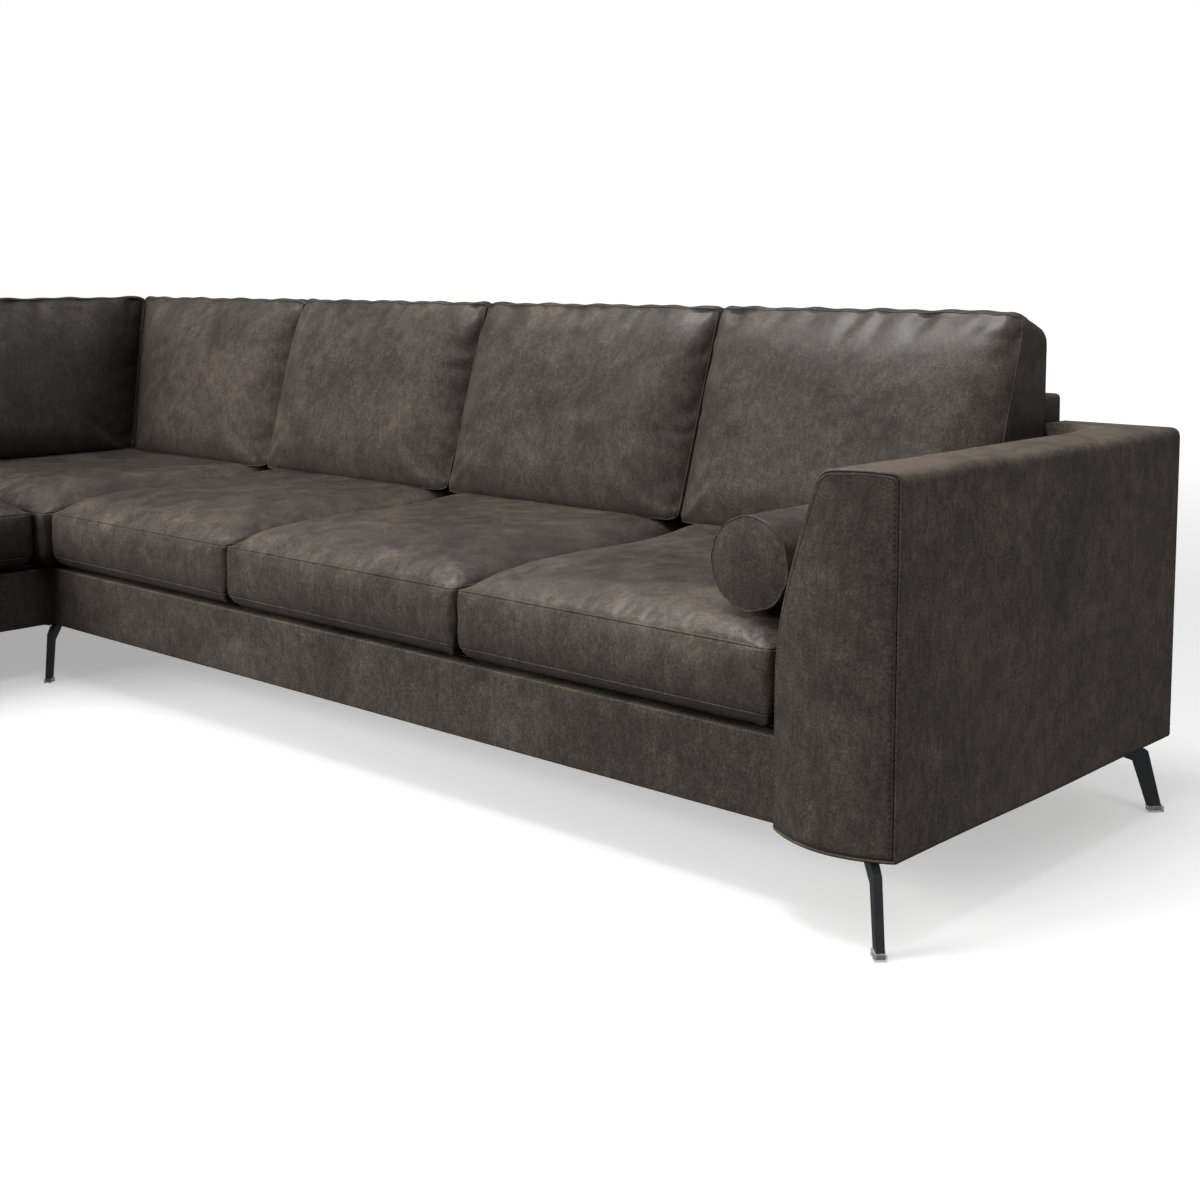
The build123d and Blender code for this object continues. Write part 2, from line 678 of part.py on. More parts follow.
bolster_y = BOLSTER_FRONT + BOLSTER_LENGTH / 2
save(
    "bolster_cushion",
    Pos(RUN - BOLSTER_FROM_ARM, bolster_y, SEAT_TOP + BOLSTER_LIFT) * Rot(90, 0, 0) * bolster,
)

# Move everything so that the origin is under the middle, then write one file for each node
boxes = [solid.bounding_box() for solids in nodes.values() for solid in solids]
middle_x = (min(b.min.X for b in boxes) + max(b.max.X for b in boxes)) / 2
middle_y = (min(b.min.Y for b in boxes) + max(b.max.Y for b in boxes)) / 2
to_middle = Pos(-middle_x, -middle_y, 0)
os.makedirs("parts", exist_ok=True)
for name, solids in nodes.items():
    moved = [to_middle * solid for solid in solids]
    whole = moved[0] if len(moved) == 1 else Compound(children=moved)
    export_step(whole, "parts/" + name + ".step")
print(len(nodes), "nodes, moved by", round(-middle_x, 2), round(-middle_y, 2))
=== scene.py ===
"""Corner sofa with a chaise: leather over a timber frame, loose cushions, bent steel legs.

Metres, +Z up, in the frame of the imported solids. The sections follow the sofa as it is put
together: legs, timber, base, backs, arm, cushions, and then the floor, the light and the camera.
"""

import bmesh
import bpy
import numpy as np
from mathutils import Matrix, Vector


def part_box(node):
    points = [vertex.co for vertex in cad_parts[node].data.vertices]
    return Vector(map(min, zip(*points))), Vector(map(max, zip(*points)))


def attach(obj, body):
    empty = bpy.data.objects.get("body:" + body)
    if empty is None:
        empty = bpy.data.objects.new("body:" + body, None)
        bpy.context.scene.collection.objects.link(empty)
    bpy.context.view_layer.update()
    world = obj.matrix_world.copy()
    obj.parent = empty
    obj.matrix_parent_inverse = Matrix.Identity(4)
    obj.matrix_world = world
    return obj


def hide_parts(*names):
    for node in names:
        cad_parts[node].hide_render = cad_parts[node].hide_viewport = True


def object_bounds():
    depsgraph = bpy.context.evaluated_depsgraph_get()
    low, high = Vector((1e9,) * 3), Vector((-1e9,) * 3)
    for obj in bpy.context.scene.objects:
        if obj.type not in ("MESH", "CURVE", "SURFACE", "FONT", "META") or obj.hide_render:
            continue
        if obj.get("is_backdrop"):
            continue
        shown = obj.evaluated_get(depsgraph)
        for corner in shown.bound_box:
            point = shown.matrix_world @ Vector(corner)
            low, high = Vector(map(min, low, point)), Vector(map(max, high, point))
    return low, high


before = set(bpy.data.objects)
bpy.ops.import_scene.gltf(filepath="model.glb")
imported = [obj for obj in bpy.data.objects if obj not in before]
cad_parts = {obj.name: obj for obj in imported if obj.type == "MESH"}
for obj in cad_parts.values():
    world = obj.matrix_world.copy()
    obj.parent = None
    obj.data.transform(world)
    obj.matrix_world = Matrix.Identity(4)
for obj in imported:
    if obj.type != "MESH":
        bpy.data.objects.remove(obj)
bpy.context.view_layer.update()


# Legs: flat steel blades that elbow out from a screwed top plate. The steel is blackened to a
# dark gunmetal, brushed along its length, and shows a clean highlight on its edges.
class Link:
    """One output of a material's nodes. Arithmetic on it adds Math nodes to the same material."""

    def __init__(self, tree, socket):
        self.tree = tree
        self.socket = socket

    def add(self, kind, settings, sockets, output=0):
        """A new node of that kind: settings first, then a value or a link for each socket."""
        node = self.tree.nodes.new("ShaderNode" + kind)
        for name, value in settings.items():
            if name == "stops":
                elements = node.color_ramp.elements
                while len(elements) < len(value):
                    elements.new(1.0)
                for element, (place, colour) in zip(elements, value):
                    element.position = place
                    element.color = (*colour, 1.0)
            else:
                setattr(node, name, value)
        for name, value in sockets.items():
            if isinstance(value, Link):
                self.tree.links.new(value.socket, node.inputs[name])
            else:
                node.inputs[name].default_value = value
        return Link(self.tree, node.outputs[output])

    def maths(self, operation, first, second):
        """First and second joined by one Math operation."""
        return self.add("Math", {"operation": operation}, {0: first, 1: second})

    def __add__(self, other):
        return self.maths("ADD", self, other)

    def __sub__(self, other):
        return self.maths("SUBTRACT", self, other)

    def __mul__(self, other):
        return self.maths("MULTIPLY", self, other)

    def __rsub__(self, other):
        return self.maths("SUBTRACT", other, self)

    __radd__ = __add__
    __rmul__ = __mul__


def new_finish(name, scale=(1.0, 1.0, 1.0), **fixed):
    """An empty material, its shader with fixed values set, and its scaled Object coordinates."""
    material = bpy.data.materials.new(name)
    material.use_nodes = True
    tree = material.node_tree
    shader = tree.nodes["Principled BSDF"]
    for socket, value in fixed.items():
        shader.inputs[socket.replace("_", " ")].default_value = value
    place = Link(tree, tree.nodes.new("ShaderNodeTexCoord").outputs["Object"])
    return material, shader, place.add("Mapping", {}, {"Vector": place, "Scale": scale})


def feed(shader, **sockets):
    """Lead links to the shader's sockets; an underscore in a name stands for a space."""
    for name, link in sockets.items():
        link.tree.links.new(link.socket, shader.inputs[name.replace("_", " ")])


def noise(place, scale, detail=4.0, roughness=0.55, distortion=0.0):
    """Cloudy noise from 0 to 1 with that many lumps to the metre."""
    sockets = {"Vector": place, "Scale": scale, "Detail": detail}
    sockets.update({"Roughness": roughness, "Distortion": distortion})
    return place.add("TexNoise", {}, sockets)


def ramp(value, *stops):
    """Colour along a row of stops, each a place from 0 to 1 and a colour."""
    return value.add("ValToRGB", {"stops": stops}, {"Fac": value})


def relief(height, depth, strength=1.0):
    """Bumped normal from a height of 0 to 1 that stands for that depth in metres."""
    return height.add("Bump", {}, {"Height": height, "Distance": depth, "Strength": strength})


def dress(material, *names):
    """The solids of those names take the finish."""
    for name in names:
        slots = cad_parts[name].data.materials
        slots.clear()
        slots.append(material)


FEET = ("front_right", "rear_right", "inner_corner", "rear_left", "chaise_right", "chaise_left")
gunmetal, shader, place = new_finish("gunmetal_steel", (260.0, 260.0, 9.0), Metallic=0.25)
brush = noise(place, 1.0, 3.0)
cloud = noise(place, 0.08, 3.0)
tone = brush * 0.6 + cloud * 0.4
feed(
    shader,
    Base_Color=ramp(tone, (0.25, (0.030, 0.031, 0.033)), (0.8, (0.056, 0.057, 0.060))),
    Roughness=brush * 0.16 + cloud * 0.12 + 0.16,
    Normal=relief(brush, 0.00004),
)
dress(gunmetal, *["leg_" + foot for foot in FEET])


# Glides: clear moulded plastic shoes pressed on to the feet of the blades, rounded at the top.
# Scuffs on the sole and haze in the plastic keep them from being perfectly clear.
clear, shader, place = new_finish("clear_glide_plastic", IOR=1.49, Transmission_Weight=0.92)
haze = noise(place, 160.0, 4.0)
feed(
    shader,
    Base_Color=ramp(haze, (0.3, (0.78, 0.80, 0.80)), (0.75, (0.93, 0.94, 0.94))),
    Roughness=haze * 0.3 + 0.05,
)
dress(clear, *["glide_" + foot for foot in FEET])


# Support legs: round black moulded posts under the middle of the bases, out of sight behind the
# fascias, with the fine sparkle of textured plastic.
black, shader, place = new_finish("black_moulded_plastic")
grain = noise(place, 1400.0, 2.0)
feed(
    shader,
    Base_Color=ramp(grain, (0.3, (0.012, 0.012, 0.013)), (0.8, (0.030, 0.030, 0.032))),
    Roughness=grain * 0.2 + 0.42,
    Normal=relief(grain, 0.0001),
)
dress(black, "support_legs")


# Timber: planed softwood rails, posts and blocks, glued and screwed into two bases, three backs
# and the core of the arm. The grain runs along each piece.
def softwood(name, along):
    """Planed pine: fine fibres and broad growth bands, both drawn out along one axis."""
    stretch = [34.0, 34.0, 34.0]
    stretch[along] = 1.6
    material, shader, place = new_finish(name, tuple(stretch))
    bands = noise(place, 1.0, 3.0, 0.5, 1.2)
    fibre = noise(place, 9.0, 3.0, 0.6)
    tone = bands * 0.65 + fibre * 0.35
    pale = (0.52, 0.36, 0.20)
    feed(
        shader,
        Base_Color=ramp(tone, (0.3, (0.36, 0.215, 0.105)), (0.55, pale), (0.8, (0.61, 0.45, 0.27))),
        Roughness=fibre * 0.2 + 0.5,
        Normal=relief(fibre, 0.0003),
    )
    return material


lengthways = softwood("softwood_along_run", 0)
crossways = softwood("softwood_along_chaise", 1)
upright = softwood("softwood_upright", 2)
dress(lengthways, "main_front_rail", "main_rear_rail", "chaise_cross_rails", "leg_blocks")
dress(lengthways, "main_back_rails", "chaise_rear_back_rails")
dress(crossways, "main_cross_rails", "chaise_inner_rail", "chaise_outer_rail")
dress(crossways, "chaise_side_back_rails", "arm_boards")
dress(upright, "main_back_posts", "chaise_rear_back_posts", "chaise_side_back_posts", "arm_formers")


# Fixings: bright zinc screws, bolts and flat joining plates that hold the legs, the backs and the
# two bases, with the faint spangle of plated steel.
zinc, shader, place = new_finish("zinc_plated_steel", Metallic=1.0)
spangle = noise(place, 220.0, 3.0)
feed(
    shader,
    Base_Color=ramp(spangle, (0.3, (0.42, 0.43, 0.44)), (0.75, (0.68, 0.69, 0.68))),
    Roughness=spangle * 0.25 + 0.22,
)
dress(zinc, "plate_screws", "joining_plates", "frame_bolts")


# Webbing: flat woven elastic straps, stapled across the rails of each base side by side. The
# weave is a check of two ribs, one along the strap and one across it.
webbing, shader, place = new_finish("elastic_webbing")
rib = {"wave_type": "BANDS"}
warp = place.add("TexWave", {**rib, "bands_direction": "X"}, {"Vector": place, "Scale": 90.0}, 1)
weft = place.add("TexWave", {**rib, "bands_direction": "Y"}, {"Vector": place, "Scale": 90.0}, 1)
weave = warp * weft
feed(
    shader,
    Base_Color=ramp(weave, (0.0, (0.018, 0.017, 0.016)), (1.0, (0.105, 0.092, 0.075))),
    Roughness=weave * 0.15 + 0.7,
    Normal=relief(weave, 0.0006),
)
dress(webbing, "main_webbing", "chaise_webbing")


# Dust cloths: thin black spunbonded sheets, stapled under the rails of both bases. They are cut to
# the base and stretched, and sag by a millimetre between the rails.
def skinned(name, points, quads, finish):
    """A smooth-shaded object of those points and four-cornered faces."""
    mesh = bpy.data.meshes.new(name)
    mesh.vertices.add(len(points))
    mesh.vertices.foreach_set("co", np.asarray(points, np.float32).ravel())
    mesh.loops.add(quads.size)
    mesh.loops.foreach_set("vertex_index", quads.ravel().astype(np.int32))
    mesh.polygons.add(len(quads))
    mesh.polygons.foreach_set("loop_start", np.arange(0, quads.size, 4, dtype=np.int32))
    mesh.polygons.foreach_set("use_smooth", np.ones(len(quads), bool))
    mesh.update(calc_edges=True)
    mesh.materials.append(finish)
    piece = bpy.data.objects.new(name, mesh)
    bpy.context.scene.collection.objects.link(piece)
    return piece


def patch(number):
    """Four-cornered faces between the neighbours of a two-way table of point numbers."""
    corners = [number[:-1, :-1], number[1:, :-1], number[1:, 1:], number[:-1, 1:]]
    return np.stack(corners, -1).reshape(-1, 4)


dust, shader, place = new_finish("black_dust_cloth")
fibre = noise(place, 900.0, 3.0, 0.7)
cloud = noise(place, 14.0, 3.0)
tone = fibre * 0.6 + cloud * 0.4
feed(
    shader,
    Base_Color=ramp(tone, (0.3, (0.010, 0.010, 0.011)), (0.75, (0.036, 0.035, 0.034))),
    Roughness=fibre * 0.15 + 0.75,
    Normal=relief(fibre, 0.0003),
)
DUST_POINTS = 61
DUST_BELOW = 0.0002
DUST_SAG = 0.001
for base in ("main", "chaise"):
    low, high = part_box(base + "_dust_cloth")
    across = np.linspace(low.x, high.x, DUST_POINTS)
    along = np.linspace(low.y, high.y, DUST_POINTS)
    x, y = np.meshgrid(across, along, indexing="ij")
    sag = np.sin(np.pi * (x - low.x) / (high.x - low.x)) * np.sin(np.pi * (y - low.y) / (high.y - low.y))
    z = high.z - DUST_BELOW - DUST_SAG * sag**2
    number = np.arange(x.size).reshape(x.shape)[:, ::-1]
    cloth = skinned(base + "_dust_sheet", np.stack([x, y, z], -1).reshape(-1, 3), patch(number), dust)
    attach(cloth, "sofa_frame")
    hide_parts(base + "_dust_cloth")


# Deck pads: thick grey needle felt laid over the webbing under the seats, soft at its edges and
# slightly crowned, so that the cushions don't wear on the straps.
def lines(low, high, step, edge):
    """Places from low to high: closer in the last stretch at each end, even in between."""
    near = edge * np.array([0.0, 0.1, 0.26, 0.5, 0.75])
    count = max(2, int(np.ceil((high - low - 2 * edge) / step)))
    even = np.linspace(low + edge, high - edge, count + 1)
    return np.concatenate([low + near, even, high - near[::-1]])


def lattice(xs, ys, zs):
    """Closed skin of a block: the outer points of a lattice, their faces and their numbers."""
    skin = np.zeros((len(xs), len(ys), len(zs)), bool)
    skin[[0, -1]] = True
    skin[:, [0, -1]] = True
    skin[:, :, [0, -1]] = True
    number = np.full(skin.shape, -1)
    number[skin] = np.arange(skin.sum())
    points = np.stack(np.meshgrid(xs, ys, zs, indexing="ij"), -1)[skin]
    sides = [number[:, :, -1], number[:, ::-1, 0], number[-1], number[0, ::-1]]
    sides += [number[:, 0], number[::-1, -1]]
    return points, np.concatenate([patch(side) for side in sides]), number


def upholstered(low, high, radius, step, swell):
    """Closed block with soft edges and slightly swollen faces.

    Each point of a square block is drawn to one radius from a block that lies a radius further
    in. Then it moves out along that line by the swell, which fades towards the edges of a face.
    The radius stays a little under half of the block's least thickness.
    """
    low = np.array(low) + swell
    high = np.array(high) - swell
    radius = min(radius, 0.45 * (high - low).min())
    points, quads, _ = lattice(*[lines(a, b, step, radius) for a, b in zip(low, high)])
    core = np.clip(points, low + radius, high - radius)
    out = points - core
    out /= np.linalg.norm(out, axis=1, keepdims=True)
    share = 1 - np.abs(2 * (points - low) / (high - low) - 1) ** 8
    full = np.clip(share + np.abs(out) ** 2, 0, 1).prod(1, keepdims=True)
    return core + out * (radius + swell * full), quads


felt, shader, place = new_finish("grey_needle_felt")
fibre = noise(place, 420.0, 5.0, 0.7, 1.5)
fleck = noise(place, 95.0, 3.0)
tone = fibre * 0.6 + fleck * 0.4
feed(
    shader,
    Base_Color=ramp(tone, (0.3, (0.055, 0.054, 0.053)), (0.72, (0.205, 0.20, 0.19))),
    Roughness=fibre * 0.1 + 0.85,
    Normal=relief(fibre, 0.0012),
)
FELT_EDGE = 0.008
FELT_STEP = 0.03
FELT_SWELL = 0.0015
for base in ("main", "chaise"):
    low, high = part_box(base + "_deck_pad")
    block = upholstered(low, high, FELT_EDGE, FELT_STEP, FELT_SWELL)
    pad = skinned(base + "_deck_felt", *block, felt)
    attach(pad, "sofa_frame")
    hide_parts(base + "_deck_pad")


# Fascias: padded boards round both bases, covered in the same leather as the rest of the frame.
# The leather is waxed and worn: dark grey-brown, clouded, lighter and warmer where it is rubbed.
# Faces that look up are lighter still, in patches as wear and evenly as painted top light.
# At the top it is turned in over the rails, and that strip is darker as painted shade under the seats.
def worn_leather(name, gloss, lift, top_rub_and_light):
    """Waxed leather: clouds and blotches of wear set its tone, pores and creases its relief.

    Faces that look up are made lighter by the last argument: in patches as wear, and evenly as
    painted top light. lift scales how light the whole hide is, and gloss is the roughness of its
    least worn places.
    """
    material, shader, place = new_finish(name, Specular_IOR_Level=0.28)
    facing = Link(place.tree, place.tree.nodes["Texture Coordinate"].outputs["Normal"])
    upward = facing.add("SeparateXYZ", {}, {"Vector": facing}, 2)
    clouds = noise(place, 4.2, 6.0, 0.62, 0.7)
    blotch = noise(place, 24.0, 8.0, 0.70, 0.5)
    drag = place.add("Mapping", {}, {"Vector": place, "Scale": (1.0, 1.0, 0.30)})
    rubbed = noise(drag, 110.0, 6.0, 0.75, 0.3)
    speck = noise(place, 290.0, 4.0, 0.75)
    # Faces that look up: patchy wear, plus an even painted top light set by the last argument.
    top_wear_and_light = (clouds + blotch - 1.0) * 0.45 + top_rub_and_light
    wear_and_top_light = clouds * 0.58 + blotch * 0.64 + rubbed * 0.66 + speck * 1.20 + upward * top_wear_and_light - 1.08
    dark = np.array((0.030, 0.0254, 0.0224)) * lift
    body = np.array((0.050, 0.0421, 0.0368)) * lift
    warm = np.array((0.080, 0.0665, 0.0565)) * lift
    bare = np.array((0.150, 0.119, 0.090)) * lift
    pore = place.add("TexVoronoi", {"feature": "SMOOTH_F1"}, {"Vector": place, "Scale": 620.0})
    crease = noise(place, 190.0, 4.0, 0.6, 1.0)
    grain = pore * 0.5 + crease * 0.5 + speck * 0.3
    feed(
        shader,
        Base_Color=ramp(wear_and_top_light, (0.22, dark), (0.45, body), (0.66, warm), (0.95, bare)),
        Roughness=wear_and_top_light * 0.16 + crease * 0.10 + gloss - 0.08,
        Normal=relief(grain, 0.00055, 0.55),
    )
    return material


# Its faces that look up are lighter by 0.40, as patchy wear and as an even painted top light.
frame_leather = worn_leather("frame_leather_waxed", 0.50, 1.05, 0.40)
FASCIA_EDGE = 0.003
FASCIA_STEP = 0.02
FASCIA_SWELL = 0.0004
for part in ("main_front", "chaise_inner", "chaise_outer", "chaise_end"):
    low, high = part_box(part + "_fascia")
    block = upholstered(low, high, FASCIA_EDGE, FASCIA_STEP, FASCIA_SWELL)
    board = skinned(part + "_leather", *block, frame_leather)
    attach(board, "sofa_frame")
    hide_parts(part + "_fascia")
# A darker hide (lift 0.75) with no top lightening: painted shade where the seats overhang the rails.
turned_leather = worn_leather("turned_leather_unworn", 0.50, 0.75, 0.0)
TURNING_WIDE = 0.034
TURNING_LAP = 0.003
TURNING_THICK = 0.0024
TURNING_EDGE = 0.0008
TURNING_STEP = 0.03
TURNING_SWELL = 0.0003
TURNING_PROUD = 0.0015
TURNING_SHORT = 0.001
TURNING_ON_PAD = 0.006
TURNING_ABOVE = 0.0021
rail_low, rail_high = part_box("main_front_rail")
pad_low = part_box("main_deck_pad")[0]
end_low, end_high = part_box("chaise_end_fascia")
lap_y = end_high.y - TURNING_LAP
front_low = (rail_low.x, rail_low.y - TURNING_PROUD)
front_high = (rail_high.x - TURNING_SHORT, pad_low.y + TURNING_ON_PAD)
turnings = {
    "main_front_turning": (front_low, front_high),
    "chaise_inner_turning": ((rail_low.x - TURNING_WIDE, lap_y), (rail_low.x + TURNING_LAP, rail_low.y)),
    "chaise_end_turning": ((end_low.x, lap_y), (rail_low.x, end_high.y + TURNING_WIDE)),
}
top = rail_high.z + TURNING_ABOVE
for part, (near, far) in turnings.items():
    low = (*near, top)
    high = (*far, top + TURNING_THICK)
    block = upholstered(low, high, TURNING_EDGE, TURNING_STEP, TURNING_SWELL)
    flap = skinned(part, *block, turned_leather)
    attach(flap, "sofa_frame")


# Backs: three upholstered slabs behind the cushions, leather drawn over wadding on timber frames.
# Their edges are rounded over, and the faces stand a little proud in the middle.
SLAB_EDGE = 0.009
SLAB_STEP = 0.02
SLAB_SWELL = 0.001
for part in ("main_back", "chaise_rear_back", "chaise_side_back"):
    low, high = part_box(part + "_cover")
    block = upholstered(low, high, SLAB_EDGE, SLAB_STEP, SLAB_SWELL)
    slab = skinned(part + "_leather", *block, frame_leather)
    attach(slab, "sofa_frame")
    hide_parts(part + "_cover")


# Arm: a leather cover over formers and boards, upright inside up to the seat and then leaning
# out, with a bowed front panel sewn in along a stitched seam and a plain block behind.
def smooth_outline(corners, radii, count):
    """Closed outline of evenly spaced points: straight runs, with a curve over each corner's radius."""
    corners = np.array(corners)
    share = np.linspace(0, 1, 13)[:, None]
    runs = []
    for i, radius in enumerate(radii):
        before = corners[i - 1] - corners[i]
        after = corners[(i + 1) % len(corners)] - corners[i]
        start = corners[i] + before * radius / np.linalg.norm(before)
        end = corners[i] + after * radius / np.linalg.norm(after)
        runs.append((1 - share) ** 2 * start + 2 * share * (1 - share) * corners[i] + share**2 * end)
    path = np.concatenate(runs + [runs[0][:1]])
    length = np.concatenate([[0], np.cumsum(np.linalg.norm(np.diff(path, axis=0), axis=1))])
    even = np.linspace(0, length[-1], count, endpoint=False)
    return np.stack([np.interp(even, length, path[:, i]) for i in (0, 1)], -1)


def inward(outline):
    """Unit normals of a closed outline, pointing to its inside."""
    run = np.roll(outline, -1, 0) - np.roll(outline, 1, 0)
    run /= np.linalg.norm(run, axis=1, keepdims=True)
    return np.stack([-run[:, 1], run[:, 0]], -1)


def rolled(number):
    """A two-way table of point numbers with its first column repeated at the end."""
    return np.concatenate([number, number[:, :1]], 1)


def even_run(path, shares):
    """Points of an open path at those shares of its length."""
    length = np.concatenate([[0], np.cumsum(np.linalg.norm(np.diff(path, axis=0), axis=1))])
    return np.stack([np.interp(shares * length[-1], length, axis) for axis in path.T], -1)


def filled_outline(outline, corners, count_u, count_v):
    """Grid inside a closed outline, cut at four of its points into bottom, right, top and left.

    A point is the blend of bottom and top at its place across, plus that of left and right at
    its height, less the blend of the four corners. Lines lie closer together near the outline.
    """
    ends = [int(np.argmin(np.linalg.norm(outline - corner, axis=1))) for corner in corners]
    runs = []
    for first, last in zip(ends, ends[1:] + ends[:1]):
        runs.append(np.roll(outline, -first, 0)[: (last - first) % len(outline) + 1])
    u = lines(0.0, 1.0, 1.0 / count_u, 0.10)
    v = lines(0.0, 1.0, 1.0 / count_v, 0.04)
    bottom = even_run(runs[0], u)[:, None]
    top = even_run(runs[2][::-1], u)[:, None]
    right = even_run(runs[1], v)[None]
    left = even_run(runs[3][::-1], v)[None]
    u = u[:, None, None]
    v = v[None, :, None]
    corner_blend = (1 - u) * ((1 - v) * bottom[:1] + v * top[:1])
    corner_blend = corner_blend + u * ((1 - v) * bottom[-1:] + v * top[-1:])
    return (1 - v) * bottom + v * top + (1 - u) * left + u * right - corner_blend


def closed(piece):
    """Merge the points that meet at a pole, so that the skin has no hole there."""
    shape = bmesh.new()
    shape.from_mesh(piece.data)
    bmesh.ops.remove_doubles(shape, verts=shape.verts, dist=1e-6)
    shape.to_mesh(piece.data)
    shape.free()


def stitches(name, path, normal, pitch, length, thick, finish):
    """Row of threads along a path, each a drawn-out six-sided bead that is thin at its ends."""
    gaps = np.linalg.norm(np.diff(path, axis=0), axis=1)
    shares = np.linspace(0, 1, int(gaps.sum() / pitch))
    both = even_run(np.concatenate([path, normal], 1), shares)
    run = np.gradient(both[:, :3], axis=0)
    run /= np.linalg.norm(run, axis=1, keepdims=True)
    out = both[:, 3:] / np.linalg.norm(both[:, 3:], axis=1, keepdims=True)
    side = np.cross(run, out)
    along = np.array([-1.0, -0.7, 0.0, 0.7, 1.0])[None, :, None, None]
    turn = np.linspace(0, 2 * np.pi, 7)[None, None, :-1, None]
    fat = thick * np.sqrt(1.05 - along**2)
    spread = np.cos(turn) * out[:, None, None] + np.sin(turn) * side[:, None, None]
    points = both[:, None, None, :3] + along * length / 2 * run[:, None, None] + fat * spread
    number = np.arange(points[..., 0].size).reshape(points.shape[:3])
    quads = np.concatenate([patch(rolled(bead)[::-1]) for bead in number])
    return skinned(name, points.reshape(-1, 3), quads, finish)


ARM_KNEE = 0.415
ARM_SHOULDER = 0.687
ARM_SLANT = 0.106
ARM_LIP = 0.004
ARM_CROWN = 0.002
ARM_POINTS = 360
ARM_RADII = (0.003, 0.003, 0.018, 0.03, 0.022, 0.075)
BOW_FOREMOST = 0.57
BOW_INNER = 0.041
BOW_OUTER = 0.034
SLACK = 0.0011
PANEL_UNDER = 0.0006
PANEL_IN = 0.006
low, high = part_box("arm_cover")
leaning_x = low.x + ARM_SLANT
corners = [(low.x, low.z), (high.x, low.z), (high.x, ARM_SHOULDER)]
corners += [((leaning_x + high.x) / 2, high.z + ARM_CROWN), (leaning_x, ARM_SHOULDER), (low.x, ARM_KNEE)]
section = smooth_outline(corners, ARM_RADII, ARM_POINTS)
into = inward(section)
bow_x = (low.x, low.x + BOW_FOREMOST * (high.x - low.x), high.x)
bow = np.polyfit(bow_x, (low.y + BOW_INNER, low.y, low.y + BOW_OUTER), 2)
front_y = np.polyval(bow, section[:, 0])
turn = np.linspace(0, np.pi / 2, 6)
inset = np.concatenate([[ARM_LIP + 0.0012, ARM_LIP + 0.0003], ARM_LIP * (1 - np.sin(turn))])
back = np.concatenate([[0.006, 0.0016], ARM_LIP * (1 - np.cos(turn))])
sewn = 1 - np.clip((into[:, 0] - 0.3) / 0.4, 0, 1)
rings = []
for a, b in zip(inset, back):
    ring = section + into * a
    sunk = np.where(a > ARM_LIP, sewn * b + (1 - sewn) * 0.0003, b)
    rings.append(np.stack([ring[:, 0], front_y + sunk, ring[:, 1]], -1))
for share in np.concatenate([[0.003, 0.008], np.linspace(0.02, 0.9996, 64), [1.0]]):
    slack = SLACK * np.sin(6.5 * share + 9 * section[:, 1]) * np.sin(np.pi * share)
    ring = section + into * slack[:, None]
    depth = front_y + ARM_LIP + (high.y - front_y - ARM_LIP) * share
    rings.append(np.stack([ring[:, 0], depth, ring[:, 1]], -1))
rings.append(np.repeat(rings[-1].mean(0)[None], len(section), 0))
points = np.stack(rings)
number = rolled(np.arange(points[..., 0].size).reshape(points.shape[:2]))
cover = skinned("arm_leather_cover", points.reshape(-1, 3), patch(number), frame_leather)
closed(cover)
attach(cover, "sofa_frame")
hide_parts("arm_cover")

edge = section + into * (ARM_LIP + PANEL_UNDER)
turns = [(low.x, low.z), (high.x, low.z), (high.x - PANEL_IN, ARM_SHOULDER)]
turns += [(leaning_x + PANEL_IN, ARM_SHOULDER)]
grid = filled_outline(edge, np.array(turns), 30, 70)
step_u, step_v = [np.minimum(np.arange(n), np.arange(n)[::-1]) for n in grid.shape[:2]]
step_u = np.where(np.arange(len(step_u)) < len(step_u) / 2, 3, step_u)
sink = np.array([0.006, 0.0014, 0.0002, 0.0])[np.minimum(np.minimum.outer(step_u, step_v), 3)]
points = np.stack([grid[..., 0], np.polyval(bow, grid[..., 0]) + sink, grid[..., 1]], -1)
number = np.arange(sink.size).reshape(sink.shape)
panel = skinned("arm_leather_front", points.reshape(-1, 3), patch(number), frame_leather)
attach(panel, "sofa_frame")
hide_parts("arm_front_panel")

thread, shader, place = new_finish("dark_waxed_thread")
twist = noise(place, 2600.0, 2.0)
feed(
    shader,
    Base_Color=ramp(twist, (0.3, (0.010, 0.009, 0.008)), (0.8, (0.045, 0.038, 0.032))),
    Roughness=twist * 0.2 + 0.5,
)
STITCH_IN = 0.0042
STITCH_PITCH = 0.0048
STITCH_LONG = 0.0034
STITCH_THICK = 0.0007
STITCH_START = 0.012
STITCH_SHARE = 0.82
STITCH_PROUD = 0.0001
row = section + into * (ARM_LIP + STITCH_IN)
start = int(np.argmin(np.linalg.norm(row - [high.x, low.z + STITCH_START], axis=1)))
row = np.roll(row, -start, 0)[: int(STITCH_SHARE * len(row))]
path = np.stack([row[:, 0], np.polyval(bow, row[:, 0]) - STITCH_PROUD, row[:, 1]], -1)
lean_y = np.polyval(np.polyder(bow), row[:, 0])
normal = np.stack([lean_y, -np.ones(len(row)), np.zeros(len(row))], -1)
size = (STITCH_PITCH, STITCH_LONG, STITCH_THICK)
sewing = stitches("arm_front_stitches", path, normal, *size, thread)
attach(sewing, "sofa_frame")

